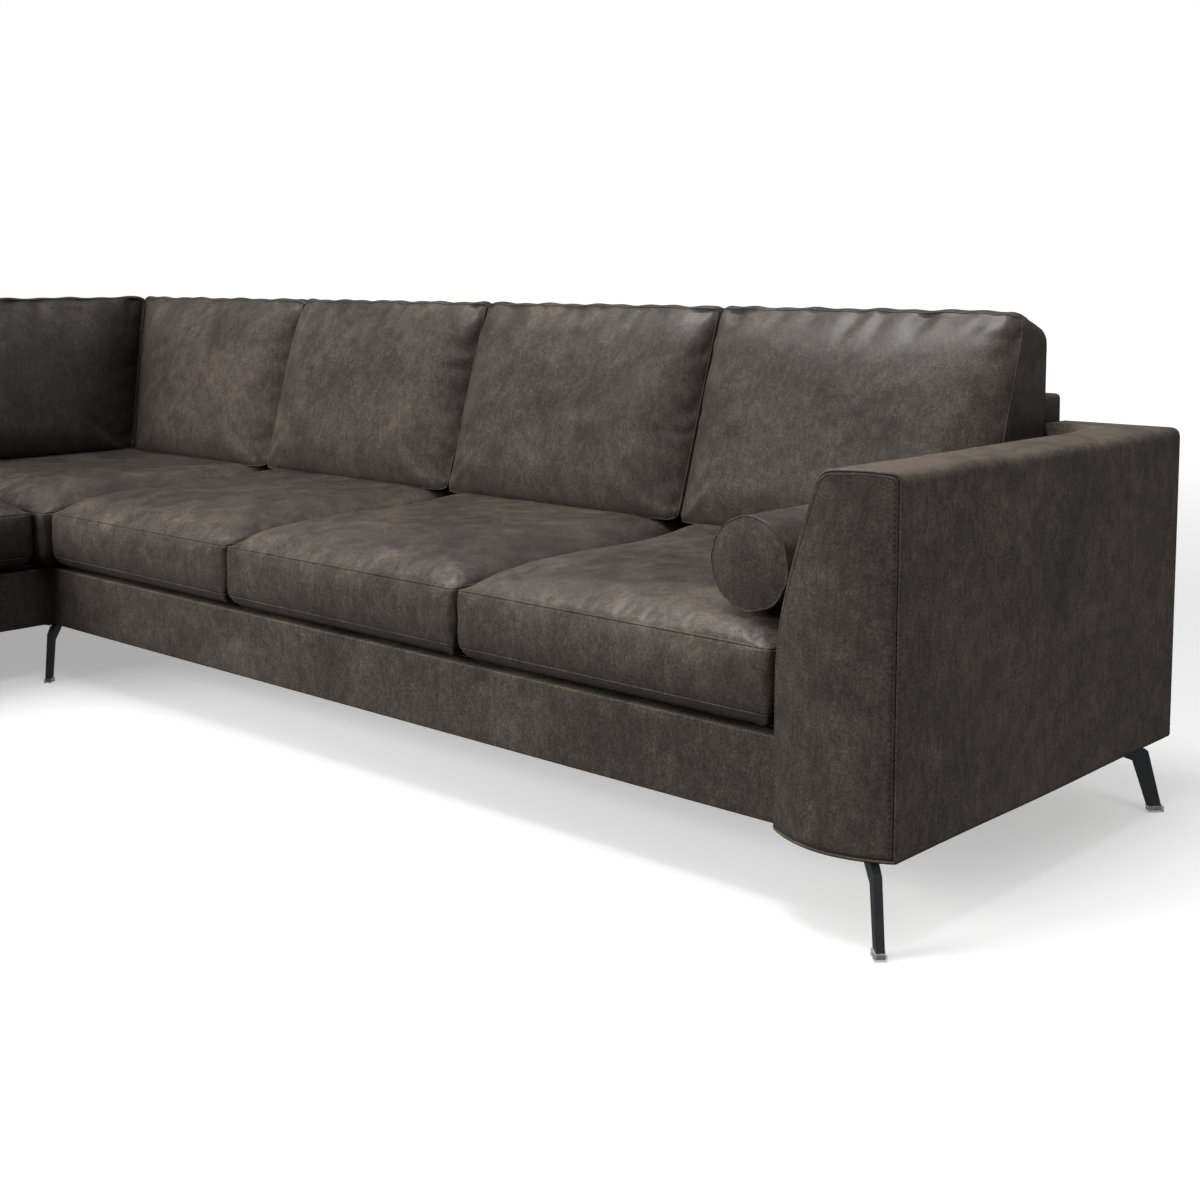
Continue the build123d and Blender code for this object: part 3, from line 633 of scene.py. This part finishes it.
REAR_RADII = (0.003, 0.003, 0.018, 0.010)
REAR_ROUND = 0.005
low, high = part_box("arm_rear_cover")
rear_top = high.z - 0.001
corners = [(low.x, low.z), (high.x, low.z), (high.x, rear_top), (low.x, rear_top)]
section = smooth_outline(corners, REAR_RADII, ARM_POINTS)
into = inward(section)
flat_end = high.y - REAR_ROUND
runs = np.concatenate([[low.y], np.linspace(low.y + 0.0004, flat_end, 9)])
rings = [np.insert(section, 1, y, axis=1) for y in runs]
for a in turn[1:]:
    ring = section + into * REAR_ROUND * (1 - np.cos(a))
    rings.append(np.insert(ring, 1, flat_end + REAR_ROUND * np.sin(a), axis=1))
middle = section.mean(0)
rings.insert(0, np.repeat([[middle[0], low.y, middle[1]]], len(section), 0))
rings.append(np.repeat([[middle[0], high.y, middle[1]]], len(section), 0))
points = np.stack(rings)
number = rolled(np.arange(points[..., 0].size).reshape(points.shape[:2]))
rear = skinned("arm_leather_rear", points.reshape(-1, 3), patch(number), frame_leather)
closed(rear)
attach(rear, "sofa_frame")
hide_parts("arm_rear_cover")


# Seat cushions: boxed leather cases over foam, lying loose on the deck. A band runs round each
# between two seams, the top is crowned, and the leather puckers where it is sewn to the band.
# They are blown up as cloth, and then pressed flat where they lie against their neighbours.
def crowned(near, reach, power=5.0):
    """Share of a crown's height: 0 at the sides, 1 inside, a quarter ellipse in from each side.

    near holds the distances from the sides, and reach how far in each ellipse is full. Where
    two meet, their falls are joined by a high root of the sum of their powers.
    """
    out = 1 - np.clip(near / reach, 0, 1)
    fall = 1 - np.sqrt(1 - out**2)
    return 1 - np.minimum((fall**power).sum(-1) ** (1 / power), 1)


def eased(offset, half, radius):
    """Points of a rectangle with its corners rounded, and how far each lies into a corner.

    In the last radius at each corner the square of two distances is mapped to a quarter disc.
    """
    into = np.clip((np.abs(offset) - (half - radius)) / radius, 0, 1)
    disc = into * np.sqrt(1 - into[:, ::-1] ** 2 / 2)
    sign = np.sign(offset)
    return sign * (np.minimum(np.abs(offset), half - radius) + radius * disc), sign * disc


def puckers(along, away, seed, pitch, reach, depth, lean=(-0.3, 0.3)):
    """Depth of the dents of sewn leather: narrow along the seam, dying out away from it.

    Each dent is a bell curve across and another lengthwise. Place, width, length, slant and
    depth are drawn at random about the given pitch, reach and depth, and within the lean.
    """
    draw = np.random.default_rng(seed)
    span = np.ptp(along)
    count = max(2, int(span / pitch))
    spot = along.min() + span * (np.arange(count) + draw.uniform(0.1, 0.9, count)) / count
    wide = pitch * draw.uniform(0.13, 0.28, count)
    far = reach * draw.uniform(0.35, 1.3, count)
    deep = depth * draw.uniform(0.25, 1.0, count)
    slant = draw.uniform(*lean, count)
    across = (along[:, None] - spot - slant * away[:, None]) / wide
    return (deep * np.exp(-(across**2) / 2 - (away[:, None] / far) ** 2)).sum(1)


def stuffed(cases, frames, pressure, cap):
    """Blow the cases up together as cloth, and ease each point's way to less than a cap.

    cases holds objects with the numbers of their sewn points, which stay where they are.
    """
    for case, sewn in cases:
        case.vertex_groups.new(name="sewn").add(np.unique(sewn).tolist(), 1.0, "ADD")
        cloth = case.modifiers.new("cloth", "CLOTH")
        cloth.settings.quality = 5
        cloth.settings.mass = 0.3
        cloth.settings.tension_stiffness = 12.0
        cloth.settings.compression_stiffness = 12.0
        cloth.settings.shear_stiffness = 5.0
        cloth.settings.bending_stiffness = 0.6
        cloth.settings.use_pressure = True
        cloth.settings.uniform_pressure_force = pressure
        cloth.settings.effector_weights.gravity = 0.0
        cloth.settings.vertex_group_mass = "sewn"
        cloth.settings.pin_stiffness = 1.0
        cloth.collision_settings.use_collision = False
        cloth.point_cache.frame_start = 1
        cloth.point_cache.frame_end = frames
    for number in range(1, frames + 1):
        bpy.context.scene.frame_set(number)
    shapes = bpy.context.evaluated_depsgraph_get()
    blown = []
    for case, sewn in cases:
        mesh = case.evaluated_get(shapes).data
        place = np.empty(len(mesh.vertices) * 3, np.float32)
        mesh.vertices.foreach_get("co", place)
        blown.append(place)
    for (case, sewn), after in zip(cases, blown):
        case.modifiers.clear()
        before = np.empty_like(after)
        case.data.vertices.foreach_get("co", before)
        move = (after - before).reshape(-1, 3)
        size = np.linalg.norm(move, axis=1, keepdims=True)
        move *= cap * np.tanh(size / cap) / np.maximum(size, 1e-9)
        case.data.vertices.foreach_set("co", before + move.ravel())
        case.data.update()
    bpy.context.scene.frame_set(1)


def finer(piece):
    """One smooth subdivision, made part of the mesh; the first points keep their numbers."""
    modifier = piece.modifiers.new("finer", "SUBSURF")
    modifier.levels = 1
    modifier.render_levels = 1
    shapes = bpy.context.evaluated_depsgraph_get()
    mesh = bpy.data.meshes.new_from_object(piece.evaluated_get(shapes))
    old = piece.data
    piece.modifiers.clear()
    piece.data = mesh
    bpy.data.meshes.remove(old)


def noted(piece, **values):
    """Keep numbers at a piece's points, to be read again when it has been made finer."""
    for name, value in values.items():
        record = piece.data.attributes.new(name, "FLOAT", "POINT")
        record.data.foreach_set("value", np.asarray(value, np.float32))


def recalled(piece, *names):
    """The numbers kept at a piece's points under those names, which are then cleared away."""
    found = []
    for name in names:
        record = piece.data.attributes[name]
        value = np.empty(len(record.data), np.float32)
        record.data.foreach_get("value", value)
        found.append(value)
        piece.data.attributes.remove(record)
    return found


def surface(piece):
    """Places of a piece's points and the outward normals there."""
    mesh = piece.data
    place = np.empty(len(mesh.vertices) * 3, np.float32)
    mesh.vertices.foreach_get("co", place)
    normal = np.empty_like(place)
    mesh.vertex_normals.foreach_get("vector", normal)
    return place.reshape(-1, 3), normal.reshape(-1, 3)


def gathered(piece, dent):
    """Draw each point of a piece in along its normal by the depth of its dent."""
    place, normal = surface(piece)
    piece.data.vertices.foreach_set("co", (place - normal * dent[:, None]).ravel())
    piece.data.update()


def held(piece, way, limit):
    """Press a piece flat where it would reach past a plane: way is the plane's unit normal."""
    place = surface(piece)[0]
    past = np.maximum(place @ way - limit, 0)
    piece.data.vertices.foreach_set("co", (place - past[:, None] * way).ravel())
    piece.data.update()


def rim(number):
    """The numbers round the edge of one side of a lattice, in order."""
    return np.concatenate([number[:-1, 0], number[-1, :-1], number[:0:-1, -1], number[0, :0:-1]])


def sewn_path(piece, loop, step):
    """Even points along a closed row of a piece's own points, with its outward normals there."""
    path, normal = [values[np.append(loop, loop[0])] for values in surface(piece)]
    length = np.concatenate([[0], np.cumsum(np.linalg.norm(np.diff(path, axis=0), axis=1))])
    even = np.linspace(0, length[-1], int(length[-1] / step), endpoint=False)
    path = np.stack([np.interp(even, length, path[:, i]) for i in range(3)], -1)
    normal = np.stack([np.interp(even, length, normal[:, i]) for i in range(3)], -1)
    return path, normal / np.linalg.norm(normal, axis=1, keepdims=True)


def welt(name, path, normal, radius, finish):
    """Closed cord of leather along a seam: a circle carried along the path, square to it."""
    run = np.roll(path, -1, 0) - np.roll(path, 1, 0)
    run /= np.linalg.norm(run, axis=1, keepdims=True)
    side = np.cross(run, normal)
    turn = np.linspace(0, 2 * np.pi, 9)[:-1, None, None]
    points = path + radius * (np.cos(turn) * normal + np.sin(turn) * side)
    number = rolled(np.arange(points[..., 0].size).reshape(points.shape[:2]))
    number = np.concatenate([number, number[:1]])
    return skinned(name, points.reshape(-1, 3), patch(number[::-1]), finish)


# Its faces that look up are lighter by 0.18, as patchy wear and as an even painted top light.
cushion_leather = worn_leather("cushion_leather_waxed", 0.36, 1.0, 0.18)
CASE_FRAMES = 20
CASE_PRESSURE = 4.0
CASE_EDGE = 0.036
BAND_STEP = 0.0125
BAND_EDGE = 0.024
WELT_STEP = 0.006
SEAT_STEP = 0.010
SEAT_CAP = 0.006
SEAT_SEAMS = (0.302, 0.404)
SEAT_CORNER = 0.012
SEAT_CROWN = 0.056
SEAT_BELLY = 0.0276
SEAT_BELLY_REACH = 0.036
SEAT_BULGE = 0.004
SEAT_SEAM_IN = 0.003
SEAT_UNDER_BACK = 0.20
SEAT_OPENS_OVER = 0.28
SEAT_SIDE_LEAST = 0.25
SEAM_SHARE = 0.25
SEAM_REACH = 0.014
SEAT_WELT = 0.0019
SEAT_FRONT_PUCKERS = (0.030, 0.030, 0.0048)
SEAT_SIDE_PUCKERS = (0.06, 0.04, 0.0025)
SEAT_SIDE = 0.19
SEAT_FRONT = 0.37
SEAT_REAR = 0.034
SEAT_REACH = {
    "left": (SEAT_SIDE, SEAT_SIDE, SEAT_FRONT, SEAT_REAR),
    "middle": (SEAT_SIDE, SEAT_SIDE, SEAT_FRONT, SEAT_REAR),
    "right": (SEAT_SIDE, 0.27, SEAT_FRONT, SEAT_REAR),
    "corner": (SEAT_REAR, SEAT_SIDE, SEAT_SIDE, SEAT_REAR),
    "chaise": (SEAT_SIDE, SEAT_FRONT, SEAT_FRONT, SEAT_SIDE),
}
SEAT_BACKS = {"left": [3], "middle": [3], "right": [3], "corner": [0, 3], "chaise": [0]}
SEAT_PRESSED = {"left": "xXY", "middle": "xXY", "right": "xXY", "corner": "xXyY", "chaise": "xY"}
PRESSED_WAYS = {"x": (-1.0, 0.0, 0.0), "X": (1.0, 0.0, 0.0), "y": (0.0, -1.0, 0.0), "Y": (0.0, 1.0, 0.0)}
PRESSED_GAP = 0.0006
seats = []
for name, reach in SEAT_REACH.items():
    low, high = [np.array(corner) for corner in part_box("seat_cushion_" + name)]
    centre = (low + high)[:2] / 2
    half = (high - low)[:2] / 2 - SEAT_BULGE
    across = [lines(c - h, c + h, SEAT_STEP, CASE_EDGE) for c, h in zip(centre, half)]
    points, quads, number = lattice(*across, lines(*SEAT_SEAMS, BAND_STEP, BAND_EDGE))
    offset = points[:, :2] - centre
    plan, outward = eased(offset, half, SEAT_CORNER)
    near = np.concatenate([offset + half, half - offset], 1)[:, [0, 2, 1, 3]]
    rise = (points[:, 2] - SEAT_SEAMS[0]) / (SEAT_SEAMS[1] - SEAT_SEAMS[0])
    belt = near.min(1) < 1e-6
    on_top = rise > 0.999
    on_foot = rise < 0.001
    bulge = SEAT_BULGE * np.where(belt, 4 * rise * (1 - rise), 0) ** 0.6
    plan = plan + outward * bulge[:, None]
    from_backs = near[:, SEAT_BACKS[name]].min(1)
    open_side = np.clip((from_backs - SEAT_UNDER_BACK) / SEAT_OPENS_OVER, 0, 1)[:, None]
    full = SEAT_SIDE_LEAST + (1 - SEAT_SIDE_LEAST) * open_side**2 * (3 - 2 * open_side)
    crown = crowned(near, np.where(np.array(reach) == SEAT_SIDE, full, 1.0) * reach, 3.0)
    height = points[:, 2] + np.where(on_top, SEAT_CROWN * crown, 0)
    belly = crowned(near, np.full(4, SEAT_BELLY_REACH))
    height -= np.where(on_foot, SEAT_BELLY * belly, 0)
    seam = belt & (on_top | on_foot)
    plan = plan - outward * np.where(seam, SEAT_SEAM_IN, 0)[:, None]
    points = np.concatenate([plan + centre, height[:, None]], 1)
    case = skinned("seat_leather_" + name, points, quads, cushion_leather)
    noted(case, across=offset[:, 0], along=offset[:, 1], top=on_top)
    seats.append((case, half, [rim(number[:, :, -1]), rim(number[:, :, 0])]))
cases = [(case, np.concatenate(seams)) for case, half, seams in seats]
stuffed(cases, CASE_FRAMES, CASE_PRESSURE, SEAT_CAP)
for seed, (case, half, seams) in enumerate(seats):
    name = case.name.replace("leather", "cushion")
    box = np.array(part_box(name))
    for letter in SEAT_PRESSED[name.split("_")[-1]]:
        way = np.array(PRESSED_WAYS[letter])
        held(case, way, (box @ way).max() - PRESSED_GAP)
    finer(case)
    across, along, top = recalled(case, "across", "along", "top")
    dent = puckers(across, along + half[1], 40 + seed, *SEAT_FRONT_PUCKERS, (-0.15, 0.15))
    dent += puckers(along, half[0] - across, 50 + seed, *SEAT_SIDE_PUCKERS)
    dent += puckers(along, half[0] + across, 60 + seed, *SEAT_SIDE_PUCKERS)
    inside = np.minimum(half[0] - np.abs(across), half[1] - np.abs(along))
    share = SEAM_SHARE + (1 - SEAM_SHARE) * np.clip(inside / SEAM_REACH, 0, 1)
    gathered(case, dent * top * share)
    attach(case, name)
    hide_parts(name)
    for level, loop in zip(("top", "bottom"), seams):
        path, normal = sewn_path(case, loop, WELT_STEP)
        cord = welt(case.name + "_" + level + "_welt", path, normal, SEAT_WELT, cushion_leather)
        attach(cord, name)


# Back cushions: boxed leather cases over fibre, leaning on the backs. The front panel is domed and
# gathered along its top seam, the boxing narrows to the top, and the foot rests on the seat. The
# two cushions in the corner meet at a mitre, so that each can be lifted by itself.
BACK_STEP = 0.0115
BACK_CAP = 0.010
BACK_BAND = 0.15
BACK_WELT = 0.0015
BACK_CORNER = 0.017
BACK_FREE_CORNER = 0.040
BACK_FLANK = 0.022
BACK_FLANK_REACH = 0.09
BACK_REACH = np.array([0.10, 0.11, 0.05, 0.21])
BACK_PUFF = 0.0025
BACK_TOP_PUCKERS = (0.075, 0.085, 0.0085)
BACK_RIGHT_PUCKERS = (0.055, 0.05, 0.0045)
BACK_LEFT_PUCKERS = (0.05, 0.03, 0.0025)
BACK_BOXED = 0.62
BACK_RIDGE = 0.006
BACK_RIDGE_DEEP = 0.45
BACK_FALL = 0.022
BACK_GATHER = 0.0022
BACK_LEAN = 0.002
MITRE_GAP = 0.002
BACK_SEAM_FOOT = 0.574
BACK_SEAM_SLOPE = 0.31
BACK_DOME = 0.048
BACK_REAR = 0.8035
BACK_FOOT_Z = 0.4606
BACK_SEAM_Z = 0.890
RUN_SHIFT = np.array([-0.75053, 0.1985])
SEAT_HOMES = {"left": (0.048, 0.748), "middle": (0.748, 1.448), "right": (1.448, 2.148)}
BACK_HOMES = [("back_cushion_" + name, home, False, 0) for name, home in SEAT_HOMES.items()]
BACK_HOMES += [
    ("back_cushion_corner", (-0.574, 0.048), False, -1),
    ("side_cushion_rear", (-0.048, 0.574), True, 1),
    ("side_cushion_front", (-0.748, -0.048), True, 0),
]
BACK_FREE = {"back_cushion_right": (1.0, 1.0), "side_cushion_front": (-1.0, 1.0)}
BACK_SIDE = 0.0035
tall = BACK_SEAM_Z - BACK_FOOT_Z
backs = []
for seed, (name, home, sideways, mitred) in enumerate(BACK_HOMES):
    half = np.array([(home[1] - home[0]) / 2 - BACK_SIDE, tall / 2])
    across = lines(-half[0], half[0], BACK_STEP, CASE_EDGE)
    upward = lines(-half[1], half[1], BACK_STEP, CASE_EDGE)
    inwards = lines(0.0, BACK_BAND, BAND_STEP, BAND_EDGE) / BACK_BAND
    points, quads, number = lattice(across, inwards, upward)
    depth = points[:, 1]
    face = points[:, [0, 2]]
    free = (face * BACK_FREE.get(name, (0.0, 0.0)) > 0).all(1)[:, None]
    rounder, tighter = [eased(face, half, radius) for radius in (BACK_FREE_CORNER, BACK_CORNER)]
    plan, outward = [np.where(free, a, b) for a, b in zip(rounder, tighter)]
    near = np.concatenate([face + half, half - face], 1)[:, [0, 2, 1, 3]]
    share = (plan[:, 1] + half[1]) / tall
    along = (plan[:, 0] / half[0] + 1) / 2
    flank = 1 - np.clip(near[:, [0, 1]].min(1) / BACK_FLANK_REACH, 0, 1)
    set_back = BACK_FLANK * (1 - np.sqrt(1 - flank**2))
    seam_y = BACK_SEAM_FOOT + BACK_SEAM_SLOPE * share * tall + set_back
    pillow = np.prod(1 - (face / half) ** 2, axis=1) ** 0.7
    dome = BACK_BOXED * crowned(near, BACK_REACH, 2.2) + (1 - BACK_BOXED) * pillow
    front = depth < 1e-6
    y = seam_y - np.where(front, BACK_DOME * dome, 0) + (BACK_REAR - seam_y) * depth
    ridge = BACK_RIDGE * np.sin(np.pi * np.clip(depth / BACK_RIDGE_DEEP, 0, 1)) - BACK_FALL * depth**2
    gather = BACK_GATHER * np.sin(face[:, 0] * 61 + seed) * np.sin(face[:, 0] * 23 + 2 * seed)
    z = BACK_FOOT_Z + share * tall + share**3 * (ridge + gather)
    belt = (near.min(1) < 1e-6) & ~front & (depth < 0.9999)
    puff = np.where(belt, 4 * depth * (1 - depth), 0) ** 0.7
    left = MITRE_GAP - y if mitred < 0 else home[0] + BACK_SIDE
    right = y - MITRE_GAP if mitred > 0 else home[1] - BACK_SIDE
    x = left + along * (right - left) + BACK_PUFF * outward[:, 0] * puff
    place = np.stack([-y, x], -1) if sideways else np.stack([x, y], -1)
    points = np.concatenate([place + RUN_SHIFT, z[:, None]], 1)
    case = skinned(name.replace("cushion", "leather"), points, quads, cushion_leather)
    noted(case, across=face[:, 0], up=face[:, 1], front=front & (dome > 0))
    ways = np.array([PRESSED_WAYS[letter] for letter in "YxX"])
    limits = np.array([BACK_REAR + BACK_LEAN, -home[0], home[1]]) - PRESSED_GAP
    if mitred:
        side = 1 if mitred < 0 else 2
        ways[side] = (mitred / 2**0.5, -1 / 2**0.5, 0.0)
        limits[side] = -PRESSED_GAP
    if sideways:
        ways = ways @ [[0.0, 1.0, 0.0], [-1.0, 0.0, 0.0], [0.0, 0.0, 1.0]]
    limits += ways[:, :2] @ RUN_SHIFT
    seams = [rim(number[:, 0]), rim(number[:, -1])]
    backs.append((case, name, half, seams, zip(ways, limits)))
cases = [(case, np.concatenate(seams)) for case, name, half, seams, planes in backs]
stuffed(cases, CASE_FRAMES, CASE_PRESSURE, BACK_CAP)
for seed, (case, name, half, seams, planes) in enumerate(backs):
    for way, limit in planes:
        held(case, way, limit)
    finer(case)
    across, up, front = recalled(case, "across", "up", "front")
    dent = puckers(across, half[1] - up, 70 + seed, *BACK_TOP_PUCKERS, (-0.5, 0.1))
    dent += puckers(up, half[0] - across, 80 + seed, *BACK_RIGHT_PUCKERS)
    dent += puckers(up, half[0] + across, 90 + seed, *BACK_LEFT_PUCKERS)
    gathered(case, dent * front)
    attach(case, name)
    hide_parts(name)
    for level, loop in zip(("front", "rear"), seams):
        path, normal = sewn_path(case, loop, WELT_STEP)
        cord = welt(case.name + "_" + level + "_welt", path, normal, BACK_WELT, cushion_leather)
        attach(cord, name)


# Bolster: a round cushion lying on the right-hand seat along the arm. Its barrel is one sheet of
# leather, with a disc sewn in at each end, and the discs pucker towards their seams.
BOLSTER_SEAM = 0.011
BOLSTER_WELT = 0.0017
BOLSTER_POINTS = 128
BOLSTER_PUCKERS = (0.035, 0.03, 0.0022)
low, high = [np.array(corner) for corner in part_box("bolster_cushion")]
centre = (low + high) / 2
radius = (high[0] - low[0]) / 2
length = high[1] - low[1]
disc = radius * np.concatenate([np.linspace(0.0, 0.93, 20), [0.96, 0.98, 0.993]])
barrel = np.concatenate([[0.0, 0.004, 0.009], np.linspace(0.02, 0.98, 44), [0.991, 0.996, 1.0]])
profile_r = np.concatenate([disc, radius * (0.985 + 0.015 * (1 - (2 * barrel - 1) ** 16)), disc[::-1]])
cap_y = BOLSTER_SEAM * (disc / radius) ** 2.4
barrel_y = BOLSTER_SEAM + barrel * (length - 2 * BOLSTER_SEAM)
profile_y = np.concatenate([cap_y, barrel_y, length - cap_y[::-1]])
turn = np.linspace(0, 2 * np.pi, BOLSTER_POINTS, endpoint=False)
r, angle = np.meshgrid(profile_r, turn, indexing="ij")
y = np.repeat(profile_y[:, None], len(turn), 1)
from_ends = np.minimum(np.abs(y - BOLSTER_SEAM), np.abs(y - length + BOLSTER_SEAM))
from_seam = from_ends + np.abs(radius - r)
dent = puckers((angle * radius).ravel(), from_seam.ravel(), 7, *BOLSTER_PUCKERS).reshape(r.shape)
r = r - dent * (r > 0.5 * radius)
points = np.stack([r * np.sin(angle), y, r * np.cos(angle)], -1) + [centre[0], low[1], centre[2]]
number = rolled(np.arange(r.size).reshape(r.shape))
case = skinned("bolster_leather", points.reshape(-1, 3), patch(number), cushion_leather)
closed(case)
finer(case)
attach(case, "bolster_cushion")
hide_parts("bolster_cushion")
around = np.stack([np.sin(turn), np.zeros_like(turn), np.cos(turn)], -1)
for level, row in zip(("front", "rear"), (len(disc), len(disc) + len(barrel) - 1)):
    name = "bolster_leather_" + level + "_welt"
    cord = welt(name, points[row], around, BOLSTER_WELT, cushion_leather)
    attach(cord, "bolster_cushion")


# Floor and light: a pale studio floor that glows, more so far out, in a white room that is dimmer
# low down. A large soft light stands in front at the left, with weaker ones above and at the right,
# and two more above only draw the sheen on the leather.
FLOOR_HALF = 60.0
FLOOR_POINTS = 31
pale, shader, place = new_finish("pale_studio_floor", Emission_Strength=1.0)
far = place.add("VectorMath", {"operation": "LENGTH"}, {0: place}, 1)
glow = far.add("MapRange", {}, {"Value": far, 1: 2.2, 2: 8.0, 3: 0.385, 4: 0.80})
tone = noise(place, 0.8, 2.0)
feed(
    shader,
    Base_Color=ramp(tone, (0.0, (0.80, 0.80, 0.80)), (1.0, (0.82, 0.82, 0.82))),
    Roughness=tone * 0.1 + 0.8,
    Emission_Color=glow,
)
side = np.linspace(-FLOOR_HALF, FLOOR_HALF, FLOOR_POINTS)
x, y = np.meshgrid(side, side, indexing="ij")
points = np.stack([x, y, np.zeros_like(x)], -1).reshape(-1, 3)
floor = skinned("studio_floor", points, patch(np.arange(x.size).reshape(x.shape)), pale)
floor.visible_diffuse = False
floor.visible_glossy = False
floor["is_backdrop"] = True

world = bpy.data.worlds.new("white_room")
world.use_nodes = True
tree = world.node_tree
room = tree.nodes["Background"]
room.inputs["Color"].default_value = (1.0, 1.0, 1.0, 1.0)
seen = Link(tree, tree.nodes.new("ShaderNodeLightPath").outputs["Is Camera Ray"])
way = Link(tree, tree.nodes.new("ShaderNodeTexCoord").outputs["Generated"])
height = way.add("SeparateXYZ", {}, {"Vector": way}, 2)
smooth = {"interpolation_type": "SMOOTHSTEP"}
dim = height.add("MapRange", smooth, {"Value": height, 1: 0.10, 2: 1.0, 3: 0.07, 4: 0.50})
tree.links.new((seen * (1.0 - dim) + dim).socket, room.inputs["Strength"])
bpy.context.scene.world = world
bpy.context.scene.view_settings.view_transform = "Standard"


def softbox(name, place, aim, size, power, spread=180.0, sheen=False):
    """Square area light at a place, turned to the point it is aimed at, over an angle of spread.

    A sheen light only shows as gloss, and the others only light what is matt.
    """
    lamp = bpy.data.lights.new(name, "AREA")
    lamp.size = size
    lamp.energy = power
    lamp.spread = np.radians(spread)
    light = bpy.data.objects.new(name, lamp)
    light.location = place
    way = light.location.copy()
    way.xyz = [a - b for a, b in zip(aim, place)]
    light.rotation_euler = way.to_track_quat("-Z", "Y").to_euler()
    light.visible_glossy = sheen
    light.visible_diffuse = not sheen
    bpy.context.scene.collection.objects.link(light)


softbox("overhead_softbox", (-1.4, -0.2, 3.5), (-0.6, 0.4, 0.4), 1.4, 16.0)
softbox("right_softbox", (1.2, -0.2, 3.6), (1.2, 0.4, 0.4), 1.2, 10.5, spread=80.0)
softbox("front_softbox", (-1.8, -4.6, 1.9), (0.4, 0.6, 0.5), 2.6, 400.0)
softbox("side_softbox", (3.6, 0.5, 0.40), (1.62, 0.6, 0.40), 0.8, 20.0)
softbox("right_sheen", (0.3, 0.15, 3.5), (0.3, 0.6, 0.4), 1.1, 74.0, sheen=True)
softbox("left_sheen", (-1.2, 0.15, 3.5), (-0.6, 0.6, 0.4), 1.1, 9.0, sheen=True)


# Camera: at the photograph's height and angle, to the right of the sofa and looking along it. The
# picture is shifted down on the lens, so that it is tilted less and upright edges lean less.
TILT_DOWN = 5.7
TURN_LEFT = 42.75
lens = bpy.data.cameras.new("photograph_camera")
lens.sensor_width = 36.0
lens.lens = 49.89
lens.shift_y = -0.1333
camera = bpy.data.objects.new("photograph_camera", lens)
camera.location = (2.85647, -1.7795, 0.960)
camera.rotation_euler = np.radians([90 - TILT_DOWN, 0.0, TURN_LEFT])
bpy.context.scene.collection.objects.link(camera)
bpy.context.scene.camera = camera

low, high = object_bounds()
